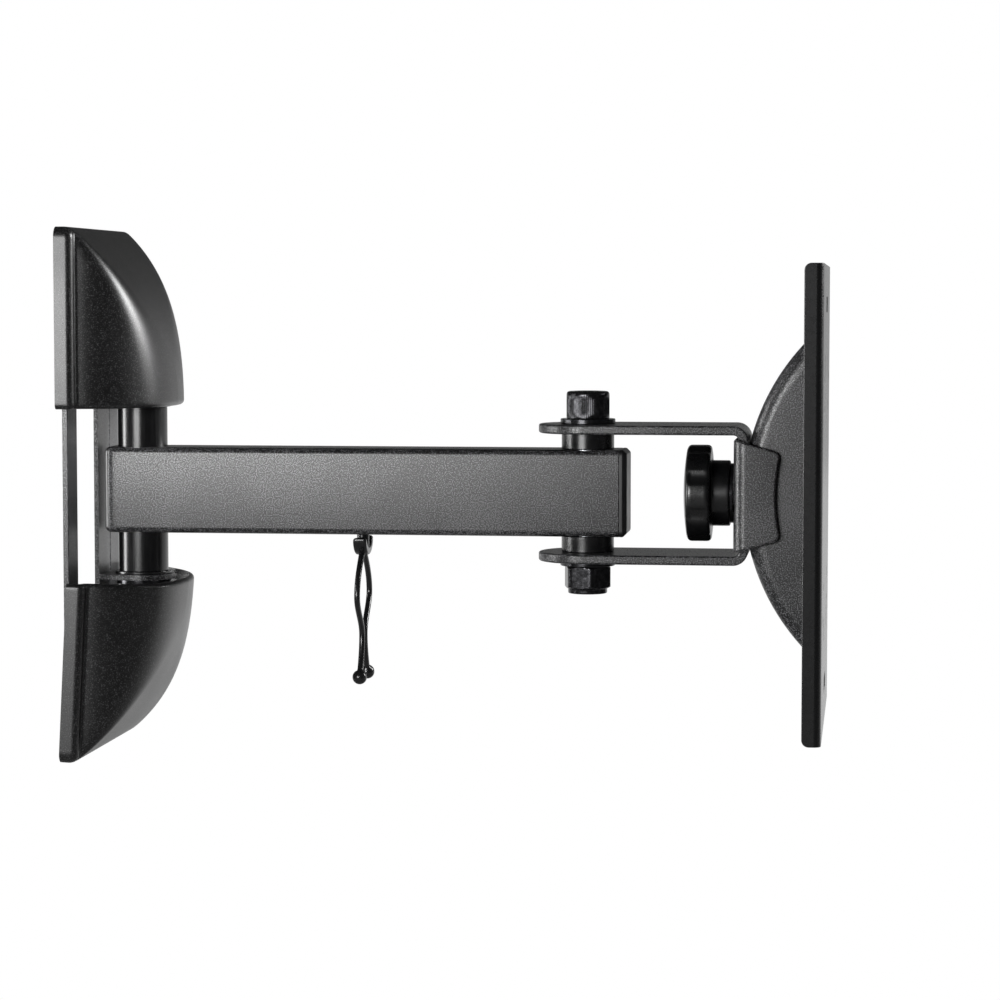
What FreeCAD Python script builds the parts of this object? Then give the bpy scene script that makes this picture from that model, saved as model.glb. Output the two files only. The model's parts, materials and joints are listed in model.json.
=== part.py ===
import FreeCAD, Part

import math
import os
import re

import Sketcher

# A single-arm full motion TV wall mount.  Millimetres; +X from the wall to the screen, +Z up.
# The origin is on the wall, in the middle of the four wall screws.

doc = FreeCAD.newDocument("tv_wall_mount")

sizes = {
    # wall plate, 2.5 mm sheet with a window across its middle
    "plate_thickness": 2.5,
    "plate_half_width": 43.0,
    "plate_half_height": 109.0,
    "window_half_width": 28.0,
    "window_half_height": 44.0,
    "wall_hole_half_row": 33.0,
    "wall_hole_half_height": 90.0,
    "wall_hole_radius": 3.5,
    # pivot bracket, a C strap whose two ears hold the rear pivot
    "strap_back": 5.0,
    "strap_thickness": 2.0,
    "strap_half_width": 9.3,
    "strap_half_height": 62.0,
    "ear_inside": 37.8,
    "ear_thickness": 2.4,
    "ear_radius": 13.9,
    "spacer_radius": 8.0,
    "bracket_screw_height": 54.0,
    "bracket_screw_radius": 3.0,
    "bracket_screw_head_radius": 5.5,
    "bracket_screw_head_height": 3.4,
    "bracket_nut_half_width": 5.0,
    "bracket_nut_height": 1.6,
    # pivots: both bolts are M12
    "rear_pivot": 25.0,
    "front_pivot": 224.4,
    "bolt_radius": 6.0,
    "bolt_clear_radius": 6.05,
    "loose_hole_radius": 6.4,
    "washer_radius": 12.0,
    "washer_thickness": 2.2,
    "nut_half_width": 9.5,
    "nut_height": 10.0,
    "nut_collar_radius": 8.6,
    "nut_collar_height": 2.2,
    "nut_turn": 15.0,
    "nut_point_round": 1.4,
    "rear_head_height": 7.5,
    "socket_head_radius": 9.4,
    "socket_head_height": 12.0,
    "socket_head_edge": 1.6,
    "socket_half_width": 5.0,
    "socket_depth": 6.0,
    "bolt_overrun": 1.2,
    # sleeves and bushes of the pivots
    "sleeve_radius": 11.0,
    "sleeve_bore": 8.05,
    "bush_radius": 8.0,
    "bush_length": 11.0,
    "rear_flange_radius": 12.6,
    "rear_flange_thickness": 1.1,
    "front_flange_radius": 11.5,
    "pivot_gap": 0.1,
    # arm, a rectangular tube with a cap in each end
    "arm_back": 9.7,
    "arm_front": 242.4,
    "arm_half_height": 19.0,
    "arm_half_width": 12.5,
    "arm_wall": 1.4,
    "arm_edge": 2.8,
    "tube_inner_edge": 1.4,
    "arm_back_corner": 5.0,
    "rear_cap_thickness": 2.3,
    "front_cap_thickness": 3.4,
    "cap_chamfer": 1.75,
    "cap_plug": 7.0,
    "cap_plug_gap": 0.1,
    "sleeve_hole_gap": 0.05,
    # cable clip in the arm's underside
    "clip_place": 124.5,
    "clip_hole_radius": 3.0,
    "clip_stem_radius": 2.7,
    "clip_stem_top": 15.5,
    "clip_barb_radius": 3.6,
    "clip_half_width": 8.0,
    "clip_half_depth": 3.0,
    "clip_top": 22.0,
    "clip_bottom": 28.0,
    "clip_wing": 2.2,
    "prong_radius": 1.3,
    "prong_root": 2.5,
    "prong_bow": 16.0,
    "prong_bow_height": 44.6,
    "prong_neck": 3.6,
    "prong_neck_height": 64.0,
    "prong_tip": 10.0,
    "prong_tip_height": 82.0,
    "ball_radius": 3.2,
    # yoke, folded from 4 mm sheet, and the level tilt axis it is curved about
    "tilt_axis": 389.0,
    "yoke_inside": 26.0,
    "yoke_thickness": 4.0,
    "yoke_half_width": 21.5,
    "yoke_plate_radius": 96.4,
    "yoke_bend": 6.5,
    "yoke_back": 289.0,
    "yoke_inner_bend": 2.5,
    "yoke_flange_thickness": 3.5,
    "yoke_flange_back": 24.3,
    "yoke_flange_front": 18.6,
    "yoke_flange_end": 307.0,
    "yoke_flange_bend": 5.2,
    "yoke_flange_corner": 3.5,
    # dome on the screen plate, pressed from 3 mm sheet
    "dome_radius": 96.0,
    "dome_thickness": 3.0,
    "dome_half_width": 21.0,
    "dome_edge": 6.5,
    "dome_inner_edge": 3.5,
    "dome_slot_half_width": 4.5,
    "dome_slot_half_length": 38.6,
    # screen plate, 2.5 mm sheet
    "screen_face": 328.0,
    "screen_thickness": 2.5,
    "screen_half_height": 99.0,
    "screen_half_width": 80.0,
    "screen_flange_depth": 8.0,
    "screen_corner": 3.0,
    "screen_hole_radius": 2.6,
    "small_pattern": 37.5,
    "large_pattern": 50.0,
    "end_slot_height": 82.0,
    "end_slot_half_height": 3.3,
    "end_slot_half_width": 14.0,
    "tab_slot_height": 56.0,
    "tab_slot_half_height": 4.5,
    "tab_slot_place": 31.0,
    "tab_slot_half_width": 2.0,
    # tilt clamp: saddle, carriage bolt, pressure washer and knob, M8
    "tilt_bolt_radius": 4.0,
    "tilt_bolt_clear": 4.06,
    "tilt_bolt_end": 272.5,
    "saddle_gap": 0.3,
    "saddle_thickness": 2.5,
    "saddle_half_width": 12.0,
    "saddle_half_height": 11.0,
    "carriage_head_radius": 8.5,
    "carriage_head_height": 4.0,
    "carriage_head_round": 3.2,
    "clamp_washer_radius": 13.0,
    "clamp_washer_back": 286.8,
    "clamp_washer_thickness": 1.65,
    "knob_back": 266.6,
    "knob_face": 278.7,
    "knob_radius": 21.0,
    "knob_edge": 2.0,
    "knob_grips": 8,
    "knob_grip_radius": 6.5,
    "knob_grip_depth": 1.1,
    "hub_radius": 14.3,
    "knob_bore_end": 270.6,
    "insert_radius": 6.5,
    "insert_back": 273.5,
    # cover shells
    "cover_flange_half_width": 54.0,
    "cover_flange_thickness": 8.0,
    "cover_rim": 37.0,
    "cover_height": 115.3,
    "cover_front": 41.6,
    "cover_arc": 103.5,
    "cover_root_half_width": 49.5,
    "cover_waist_half_width": 39.3,
    "cover_waist": 24.8,
    "cover_nose_half_width": 16.0,
    "cover_wall": 1.9,
    "cover_edge": 5.5,
    "cover_corner": 2.5,
    "lower_cover_lean": 3.0,
    "lower_cover_tip_gap": 0.1,
    "lower_cover_drop": 0.8,
}

sheet = doc.addObject("Spreadsheet::Sheet", "Sizes")
for row, (alias, number) in enumerate(sizes.items(), start=1):
    sheet.set("A%d" % row, alias)
    sheet.set("B%d" % row, str(number))
    sheet.setAlias("B%d" % row, alias)
doc.recompute()


def size(alias):
    return float(sheet.get(alias))


def bind(thing, target, text):
    # text is a sum written with the sheet's aliases
    def full(match):
        word = match.group(0)
        return "Sizes." + word if word in sizes else word

    thing.setExpression(target, re.sub(r"[a-z][a-z_]*", full, text))


# ---- building blocks: primitives, booleans and sketched bodies


def box(name, x, y, z):
    block = doc.addObject("Part::Box", name)
    for length, base, (low, high) in (("Length", "x", x), ("Width", "y", y), ("Height", "z", z)):
        bind(block, length, "(%s) - (%s)" % (high, low))
        bind(block, "Placement.Base." + base, low)
    return block


turns = {
    "X": FreeCAD.Rotation(FreeCAD.Vector(0, 1, 0), 90),
    "Y": FreeCAD.Rotation(FreeCAD.Vector(1, 0, 0), -90),
    "Z": FreeCAD.Rotation(),
}


def cylinder(name, axis, radius, low, high, **centre):
    rod = doc.addObject("Part::Cylinder", name)
    rod.Placement = FreeCAD.Placement(FreeCAD.Vector(), turns[axis])
    bind(rod, "Radius", radius)
    bind(rod, "Height", "(%s) - (%s)" % (high, low))
    bind(rod, "Placement.Base." + axis.lower(), low)
    for base, text in centre.items():
        bind(rod, "Placement.Base." + base, text)
    return rod




def prism(name, half_width, low, high, x, turn):
    # a hexagonal bar along Z, given by half its width across the flats
    bar = doc.addObject("Part::Prism", name)
    bar.Polygon = 6
    bind(bar, "Circumradius", "(%s) / cos(30)" % half_width)
    bind(bar, "Height", "(%s) - (%s)" % (high, low))
    bar.Placement = FreeCAD.Placement(FreeCAD.Vector(), FreeCAD.Rotation(FreeCAD.Vector(0, 0, 1), turn))
    bind(bar, "Placement.Base.x", x)
    bind(bar, "Placement.Base.z", low)
    return bar


def fuse(name, *parts):
    whole = doc.addObject("Part::MultiFuse", name)
    whole.Shapes = list(parts)
    whole.Refine = True
    return whole


def common(name, *parts):
    whole = doc.addObject("Part::MultiCommon", name)
    whole.Shapes = list(parts)
    return whole


def cut(name, base, *tools):
    whole = doc.addObject("Part::Cut", name)
    whole.Base = base
    whole.Tool = tools[0] if len(tools) == 1 else group(name + "_tools", *tools)
    return whole


def group(name, *parts):
    # separate solids kept together in one node
    several = doc.addObject("Part::Compound", name)
    several.Links = list(parts)
    return several


def ring(name, axis, outer, inner, low, high, **centre):
    tube = cylinder(name + "_outer", axis, outer, low, high, **centre)
    bore = cylinder(name + "_bore", axis, inner, "(%s) - 1" % low, "(%s) + 1" % high, **centre)
    return cut(name, tube, bore)


def round_edges(name, base, radius, wanted):
    # wanted is a test that picks edges by their middle point and length
    doc.recompute()
    rounded = doc.addObject("Part::Fillet", name)
    rounded.Base = base
    value = size(radius)
    chosen = []
    for index, edge in enumerate(base.Shape.Edges, start=1):
        middle = edge.valueAt((edge.FirstParameter + edge.LastParameter) / 2)
        if wanted(middle, edge):
            chosen.append((index, value, value))
    if not chosen:
        raise RuntimeError("no edge to round on " + name)
    rounded.Edges = chosen
    return rounded


def new_body(name):
    return doc.addObject("PartDesign::Body", name)


def new_sketch(body, plane, name, offset="0"):
    sketch = body.newObject("Sketcher::SketchObject", name)
    origin_plane = next(item for item in body.Origin.OriginFeatures if item.Role == plane)
    sketch.AttachmentSupport = [(origin_plane, "")]
    sketch.MapMode = "FlatFace"
    bind(sketch, "AttachmentOffset.Base.z", offset)
    return sketch


def pin_point(sketch, geometry, place, text_x, text_y):
    for kind, text in (("DistanceX", text_x), ("DistanceY", text_y)):
        index = sketch.addConstraint(Sketcher.Constraint(kind, -1, 1, geometry, place, 1.0))
        bind(sketch, "Constraints[%d]" % index, text)


def outline(sketch, corners):
    # a closed straight-sided loop; every corner is a pair of sums over the sheet's aliases
    count = len(corners)
    first = sketch.GeometryCount
    ring_of = [
        FreeCAD.Vector(10 * math.cos(2 * math.pi * i / count), 10 * math.sin(2 * math.pi * i / count), 0)
        for i in range(count)
    ]
    for i in range(count):
        sketch.addGeometry(Part.LineSegment(ring_of[i], ring_of[(i + 1) % count]), False)
    for i in range(count):
        following = first + (i + 1) % count
        sketch.addConstraint(Sketcher.Constraint("Coincident", first + i, 2, following, 1))
    for i, (text_x, text_y) in enumerate(corners):
        pin_point(sketch, first + i, 1, text_x, text_y)


def rectangle(sketch, low_x, high_x, low_y, high_y):
    outline(sketch, [(low_x, low_y), (high_x, low_y), (high_x, high_y), (low_x, high_y)])


def circle(sketch, radius, text_x, text_y):
    index = sketch.addGeometry(Part.Circle(FreeCAD.Vector(1, 1, 0), FreeCAD.Vector(0, 0, 1), 1), False)
    pin_point(sketch, index, 3, text_x, text_y)
    constraint = sketch.addConstraint(Sketcher.Constraint("Radius", index, 1.0))
    bind(sketch, "Constraints[%d]" % constraint, radius)


def pad(body, sketch, name, length, symmetric=False):
    feature = body.newObject("PartDesign::Pad", name)
    feature.Profile = sketch
    bind(feature, "Length", length)
    feature.SideType = "Symmetric" if symmetric else "One side"
    return feature


def round_body(body, feature, name, radius, wanted):
    doc.recompute()
    chosen = []
    for index, edge in enumerate(feature.Shape.Edges, start=1):
        middle = edge.valueAt((edge.FirstParameter + edge.LastParameter) / 2)
        if wanted(middle, edge):
            chosen.append("Edge%d" % index)
    rounded = body.newObject("PartDesign::Fillet", name)
    rounded.Base = (feature, chosen)
    bind(rounded, "Radius", radius)
    body.Tip = rounded
    return rounded


def upright(edge):
    low, high = edge.BoundBox.ZMin, edge.BoundBox.ZMax
    return abs(edge.Length - (high - low)) < 1e-6


def lengthways(edge):
    return abs(edge.Length - (edge.BoundBox.XMax - edge.BoundBox.XMin)) < 1e-6


signs = (("upper", ""), ("lower", "-"))
nodes = []


def keep(node, label):
    node.Label = label
    nodes.append(node)
    return node


# ---- wall bracket: plate, pivot bracket and the screws between them


def make_wall_plate():
    body = new_body("WallPlateBody")
    face = new_sketch(body, "YZ_Plane", "WallPlateFace")
    rectangle(face, "-plate_half_width", "plate_half_width", "-plate_half_height", "plate_half_height")
    rectangle(
        face, "-window_half_width", "window_half_width", "-window_half_height", "window_half_height"
    )
    for side in ("", "-"):
        for height in ("", "-"):
            circle(face, "wall_hole_radius", side + "wall_hole_half_row", height + "wall_hole_half_height")
        circle(face, "bracket_screw_radius + 0.2", "0", side + "bracket_screw_height")
    plate = pad(body, face, "WallPlatePad", "plate_thickness")
    round_body(
        body, plate, "WallPlateCorners", "cover_corner",
        lambda middle, edge: abs(edge.Length - size("plate_thickness")) < 1e-6
        and abs(middle.y) > size("plate_half_width") - 1,
    )
    keep(body, "wall_plate")


def make_pivot_bracket():
    body = new_body("PivotBracketBody")
    web = new_sketch(body, "YZ_Plane", "StrapFace", "strap_back")
    rectangle(web, "-strap_half_width", "strap_half_width", "-strap_half_height", "strap_half_height")
    for height in ("", "-"):
        circle(web, "bracket_screw_radius + 0.2", "0", height + "bracket_screw_height")
    pad(body, web, "StrapPad", "strap_thickness")
    for name, low in (("Upper", "ear_inside"), ("Lower", "-(ear_inside + ear_thickness)")):
        ear = new_sketch(body, "XY_Plane", name + "EarOutline", low)
        outline(ear, [
            ("strap_back", "-strap_half_width"),
            ("strap_back + strap_thickness", "-strap_half_width"),
            ("rear_pivot - 3", "-ear_radius * 0.985"),
            ("rear_pivot - 3", "ear_radius * 0.985"),
            ("strap_back + strap_thickness", "strap_half_width"),
            ("strap_back", "strap_half_width"),
        ])
        pad(body, ear, name + "EarPad", "ear_thickness")
        end = new_sketch(body, "XY_Plane", name + "EarEnd", low)
        circle(end, "ear_radius", "rear_pivot", "0")
        pad(body, end, name + "EarEndPad", "ear_thickness")
        bore = new_sketch(body, "XY_Plane", name + "EarBore", low)
        circle(bore, "loose_hole_radius", "rear_pivot", "0")
        pocket = body.newObject("PartDesign::Pocket", name + "EarHole")
        pocket.Profile = bore
        pocket.SideType = "Symmetric"
        bind(pocket, "Length", "ear_thickness * 3")
    for name, height in signs:
        boss = new_sketch(body, "YZ_Plane", name + "SpacerOutline", "plate_thickness")
        circle(boss, "spacer_radius", "0", height + "bracket_screw_height")
        circle(boss, "bracket_nut_half_width + 0.2", "0", height + "bracket_screw_height")
        body.Tip = pad(body, boss, name + "SpacerPad", "strap_back - plate_thickness")
    keep(body, "pivot_bracket")


def make_bracket_fasteners():
    screws = []
    nuts = []
    for name, sign in signs:
        height = sign + "bracket_screw_height"
        front = "strap_back + strap_thickness"
        shank = cylinder(name + "ScrewShank", "X", "bracket_screw_radius", "0.2", front + " + 1", z=height)
        head = cylinder(
            name + "ScrewHead", "X", "bracket_screw_head_radius", front,
            front + " + bracket_screw_head_height", z=height,
        )
        drive = box(
            name + "ScrewDrive", (front + " + 1.6", front + " + 5"), ("-1.5", "1.5"),
            ("(%s) - 1.5" % height, "(%s) + 1.5" % height),
        )
        screws.append(cut(name + "Screw", fuse(name + "ScrewSolid", shank, head), drive))
        nuts.append(ring(
            name + "Nut", "X", "bracket_nut_half_width", "bracket_screw_radius + 0.05",
            "plate_thickness + 0.2", "plate_thickness + 0.2 + bracket_nut_height", z=height,
        ))
    keep(group("ScrewPair", *screws), "bracket_screws")
    keep(group("NutPair", *nuts), "bracket_nuts")


def make_cover(label, place):
    # a flanged base and a dome with slanted sides and an arched front, hollow and open to the wall
    def dome(name, inset, low_x):
        body = new_body(name + "Plan")
        plan = new_sketch(body, "XY_Plane", name + "PlanOutline", "cover_rim - 2")
        # each side is two straight runs that meet at a waist, carried on past the flange and the front
        nose, waist, root = (
            "(cover_%s_half_width - %s * 1.3)" % (place, inset) for place in ("nose", "waist", "root")
        )
        back_slope = "(%s - %s) / (cover_waist - cover_flange_thickness)" % (root, waist)
        front_slope = "(%s - %s) / (cover_front - cover_waist)" % (waist, nose)
        back = "(%s + %s * (cover_flange_thickness - (%s)))" % (root, back_slope, low_x)
        tip = "(%s - %s * 1)" % (nose, front_slope)
        outline(plan, [
            (low_x, "-" + back), ("cover_waist", "-" + waist), ("cover_front + 1", "-" + tip),
            ("cover_front + 1", tip), ("cover_waist", waist), (low_x, back),
        ])
        pad(body, plan, name + "PlanPad", "cover_height - cover_rim")
        arch = cylinder(
            name + "Arch", "Y", "cover_arc - " + inset, "-cover_flange_half_width",
            "cover_flange_half_width", x="cover_front - cover_arc", z="cover_rim",
        )
        return common(name, body, arch)

    outer = dome(label + "Outer", "0", "cover_flange_thickness - 2")
    above = box(
        label + "AboveRim", ("-1", "cover_front + 5"),
        ("-cover_flange_half_width - 5", "cover_flange_half_width + 5"), ("cover_rim", "cover_height + 5"),
    )
    outer = common(label + "Dome", outer, above)
    outer = round_edges(
        label + "DomeRounded", outer, "cover_edge",
        lambda middle, edge: edge.BoundBox.ZMax - edge.BoundBox.ZMin > 40
        and middle.x > size("cover_flange_thickness") + 2 and edge.BoundBox.XMax > size("cover_front") - 3,
    )
    flange = box(
        label + "Flange", ("0", "cover_flange_thickness"),
        ("-cover_flange_half_width", "cover_flange_half_width"), ("cover_rim", "cover_height"),
    )
    flange = round_edges(
        label + "FlangeRounded", flange, "cover_corner",
        lambda middle, edge: middle.z > size("cover_rim") + 1
        and (abs(middle.y) > 1 or middle.x > 1) and middle.x > 0.5,
    )
    hollow = dome(label + "Inner", "cover_wall", "-1")
    tray = box(
        label + "Tray", ("-1", "cover_flange_thickness - cover_wall"),
        ("-cover_flange_half_width + cover_wall", "cover_flange_half_width - cover_wall"),
        ("cover_rim - 1", "cover_height - cover_wall"),
    )
    shell = cut(label + "Shell", fuse(label + "Solid", outer, flange), fuse(label + "Hollow", hollow, tray))
    shell.Placement = place
    keep(shell, label)


# ---- rear pivot, fixed to the wall bracket


def lock_nut(name, top, centre):
    # a hexagon with its upper and lower points turned off, and a round collar below
    bottom = "(%s) - nut_height" % top
    bar = prism(name + "Hexagon", "nut_half_width", bottom, top, centre, size("nut_turn"))
    disc = cylinder(name + "Disc", "Z", "nut_half_width * 1.12", bottom, top, x=centre)
    disc = round_edges(
        name + "DiscRounded", disc, "nut_point_round",
        lambda middle, edge: not upright(edge),
    )
    collar = cylinder(
        name + "Collar", "Z", "nut_collar_radius", "(%s) - nut_collar_height" % bottom, bottom, x=centre
    )
    blank = fuse(name + "Blank", common(name + "Points", bar, disc), collar)
    bore = cylinder(
        name + "Bore", "Z", "bolt_clear_radius", "(%s) - nut_collar_height - 1" % bottom, "(%s) + 1" % top,
        x=centre,
    )
    groove = cylinder(
        name + "Groove", "Z", "nut_collar_radius - 1.2", "(%s) - nut_collar_height - 1" % bottom,
        "(%s) + 1" % bottom, x=centre,
    )
    return cut(name, blank, bore, groove)


def nut_insert(name, top, centre):
    bottom = "(%s) - nut_height" % top
    return ring(
        name, "Z", "nut_collar_radius - 1.25", "bolt_radius + 0.02",
        "(%s) - nut_collar_height + 0.4" % bottom, "(%s) + 0.9" % bottom, x=centre,
    )


def make_rear_pivot():
    washer_low = "ear_inside + ear_thickness"
    head_low = washer_low + " + washer_thickness"
    nut_top = "-(%s)" % head_low
    bolt_low = "%s - nut_height - nut_collar_height - bolt_overrun" % nut_top
    shank = cylinder("RearShank", "Z", "bolt_radius", bolt_low, head_low + " + 1", x="rear_pivot")
    head = prism(
        "RearHead", "nut_half_width", head_low, head_low + " + rear_head_height", "rear_pivot", 0
    )
    keep(fuse("RearBolt", shank, head), "rear_pivot_bolt")
    washers = [
        ring(name + "RearWasher", "Z", "washer_radius", "loose_hole_radius", low,
             low + " + washer_thickness", x="rear_pivot")
        for name, low in (("Upper", washer_low), ("Lower", "-(%s) - washer_thickness" % washer_low))
    ]
    keep(group("RearWashers", *washers), "rear_pivot_washers")
    keep(lock_nut("RearNut", nut_top, "rear_pivot"), "rear_pivot_nut")


# ---- arm: tube, caps, sleeves and bushes


def make_arm():
    body = new_body("ArmBlank")
    plan = new_sketch(body, "XY_Plane", "ArmPlan")
    rectangle(plan, "arm_back", "arm_front", "-arm_half_width", "arm_half_width")
    blank = pad(body, plan, "ArmPad", "arm_half_height * 2", symmetric=True)
    blank = round_body(
        body, blank, "ArmRearCorners", "arm_back_corner",
        lambda middle, edge: upright(edge) and middle.x < size("arm_back") + 1,
    )
    blank = round_body(
        body, blank, "ArmLongEdges", "arm_edge",
        lambda middle, edge: lengthways(edge) and edge.Length > 100,
    )
    wide = ("-arm_half_width - 1", "arm_half_width + 1")
    tall = ("-arm_half_height - 1", "arm_half_height + 1")
    inner_wide = ("-arm_half_width + arm_wall", "arm_half_width - arm_wall")
    inner_tall = ("-arm_half_height + arm_wall", "arm_half_height - arm_wall")
    tube_back = "arm_back + rear_cap_thickness"
    tube_front = "arm_front - front_cap_thickness"

    stretch = common("TubeStretch", body, box("TubeSpan", (tube_back, tube_front), wide, tall))
    inside = round_edges(
        "TubeInside",
        box("TubeInsideBox", (tube_back + " - 1", tube_front + " + 1"), inner_wide, inner_tall),
        "tube_inner_edge", lambda middle, edge: lengthways(edge),
    )
    holes = [
        cylinder(
            name + "SleeveHole", "Z", "sleeve_radius + sleeve_hole_gap", *tall, x=name.lower() + "_pivot"
        )
        for name in ("Rear", "Front")
    ]
    clip_hole = cylinder(
        "ClipHole", "Z", "clip_hole_radius", "-arm_half_height - 1", "-arm_half_height + 5", x="clip_place"
    )
    keep(cut("ArmTube", stretch, inside, clip_hole, *holes), "arm_tube")

    def plug(name, low, high, pivot):
        filled = box(
            name + "Fill", (low, high),
            ("-arm_half_width + arm_wall + cap_plug_gap", "arm_half_width - arm_wall - cap_plug_gap"),
            ("-arm_half_height + arm_wall + cap_plug_gap", "arm_half_height - arm_wall - cap_plug_gap"),
        )
        rounded = round_edges(
            name + "Rounded", filled, "tube_inner_edge", lambda middle, edge: lengthways(edge)
        )
        clearing = cylinder(name + "Clearing", "Z", "sleeve_radius + 0.3", *tall, x=pivot)
        return cut(name, rounded, clearing)

    face = common("RearCapFace", body, box("RearCapSpan", ("arm_back - 1", tube_back), wide, tall))
    rear_plug = plug("RearPlug", tube_back, tube_back + " + 1.6", "rear_pivot")
    keep(fuse("RearCap", face, rear_plug), "rear_end_cap")

    face = common("FrontCapFace", body, box("FrontCapSpan", (tube_front, "arm_front + 1"), wide, tall))
    doc.recompute()
    chamfered = doc.addObject("Part::Chamfer", "FrontCapChamfered")
    chamfered.Base = face
    reach = size("cap_chamfer")
    chamfered.Edges = [
        (index, reach, reach)
        for index, edge in enumerate(face.Shape.Edges, start=1)
        if edge.BoundBox.XMin > size("arm_front") - 0.1 and abs(edge.CenterOfMass.z) > 18
        and edge.BoundBox.YMax - edge.BoundBox.YMin > 15
    ]
    front_plug = plug("FrontPlug", tube_front + " - cap_plug", tube_front, "front_pivot")
    keep(fuse("FrontCap", chamfered, front_plug), "front_end_cap")


def bush(name, pivot, sign, flange_radius, low, high):
    # flange outside, barrel inside the sleeve; sign mirrors it to the underside
    if sign:
        low, high = "-(%s)" % high, "-(%s)" % low
        barrel_low, barrel_high = high, high + " + bush_length"
    else:
        barrel_low, barrel_high = "(%s) - bush_length" % low, low
    flange = cylinder(name + "Flange", "Z", flange_radius, low, high, x=pivot)
    barrel = cylinder(name + "Barrel", "Z", "bush_radius", barrel_low, barrel_high, x=pivot)
    bore = cylinder(
        name + "Bore", "Z", "bolt_clear_radius", "(%s) - bush_length - 1" % low,
        "(%s) + bush_length + 1" % high, x=pivot,
    )
    return cut(name, fuse(name + "Solid", flange, barrel), bore)


def make_pivot_parts():
    rear_low = "ear_inside - pivot_gap - rear_flange_thickness"
    for name, pivot, half in (("Rear", "rear_pivot", rear_low), ("Front", "front_pivot", "arm_half_height")):
        sleeve = ring(
            name + "Sleeve", "Z", "sleeve_radius", "sleeve_bore", "-(%s)" % half, half, x=pivot
        )
        keep(sleeve, name.lower() + "_sleeve")
    for name, sign in signs:
        rear = bush(
            name + "RearBush", "rear_pivot", sign, "rear_flange_radius", rear_low, "ear_inside - pivot_gap"
        )
        keep(rear, "rear_%s_bush" % name)
        front = bush(
            name + "FrontBush", "front_pivot", sign, "front_flange_radius", "arm_half_height",
            "yoke_inside - pivot_gap",
        )
        keep(front, "front_%s_bush" % name)


# ---- cable clip: a stem with a barb, a saddle against the arm and two bowed prongs


def make_cable_clip():
    place = size("clip_place")

    def prong(side):
        # four arcs that meet smoothly: out to the bow, back in two halves to the neck, out to the ball
        def point(across, down):
            return FreeCAD.Vector(place, side * across, -down)

        root = (size("prong_root"), size("clip_bottom") - 1)
        bow = (size("prong_bow"), size("prong_bow_height"))
        neck = (size("prong_neck"), size("prong_neck_height"))
        tip = (size("prong_tip"), size("prong_tip_height"))

        def quarter(start, end):
            # the arc through end with an upright tangent at start, as a three-point arc
            across, down = end[0] - start[0], end[1] - start[1]
            radius = (across * across + down * down) / (2 * abs(across))
            centre = (start[0] + math.copysign(radius, across), start[1])
            half = math.asin(down / radius) / 2
            middle = (
                centre[0] - math.copysign(radius, across) * math.cos(half),
                centre[1] + radius * math.sin(half),
            )
            return Part.Arc(point(*start), point(*middle), point(*end)).toShape()

        turn = ((bow[0] + neck[0]) / 2, (bow[1] + neck[1]) / 2)
        edges = [quarter(bow, root), quarter(bow, turn), quarter(neck, turn), quarter(neck, tip)]
        path = Part.Wire(Part.sortEdges(edges)[0])
        start = path.OrderedVertexes[0].Point
        first = path.OrderedEdges[0]
        heading = first.tangentAt(first.FirstParameter)
        ring_edge = Part.makeCircle(size("prong_radius"), start, heading)
        rod = path.makePipeShell([Part.Wire(ring_edge)], True, False)
        return rod.fuse(Part.makeSphere(size("ball_radius"), point(*tip)))

    saddle = Part.makeBox(
        2 * size("clip_half_depth"), 2 * size("clip_half_width"), size("clip_bottom") - size("clip_top"),
        FreeCAD.Vector(place - size("clip_half_depth"), -size("clip_half_width"), -size("clip_bottom")),
    )
    saddle = saddle.makeFillet(1.2, saddle.Edges)
    stem = Part.makeCylinder(
        size("clip_stem_radius"), size("clip_bottom") - size("clip_stem_top") - 2,
        FreeCAD.Vector(place, 0, -size("clip_bottom") + 2),
    )
    barb_low = size("arm_half_height") - size("arm_wall") - 0.2
    barb = Part.makeCone(
        size("clip_barb_radius"), size("clip_stem_radius") - 0.5, barb_low - size("clip_stem_top") + 2,
        FreeCAD.Vector(place, 0, -barb_low),
    )
    wings = []
    for side in (1, -1):
        low = FreeCAD.Vector(place, side * 5.6, -size("clip_top") - 1.4)
        high = FreeCAD.Vector(place, side * (size("clip_half_width") + 1.5), -size("arm_half_height") - 0.9)
        along = (high - low).normalize()
        wing = Part.makeBox(size("clip_half_depth") * 2 - 1, size("clip_wing"), (high - low).Length)
        wing.translate(FreeCAD.Vector(-size("clip_half_depth") + 0.5, -size("clip_wing") / 2, 0))
        wing.Placement = FreeCAD.Placement(
            low, FreeCAD.Rotation(FreeCAD.Vector(0, 0, 1), along)
        ).multiply(wing.Placement)
        wings.append(wing)
    clip = doc.addObject("Part::Feature", "CableClip")
    clip.Shape = saddle.multiFuse([stem, barb, prong(1), prong(-1)] + wings).removeSplitter()
    keep(clip, "cable_clip")


# ---- yoke and the front pivot's hardware


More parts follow.
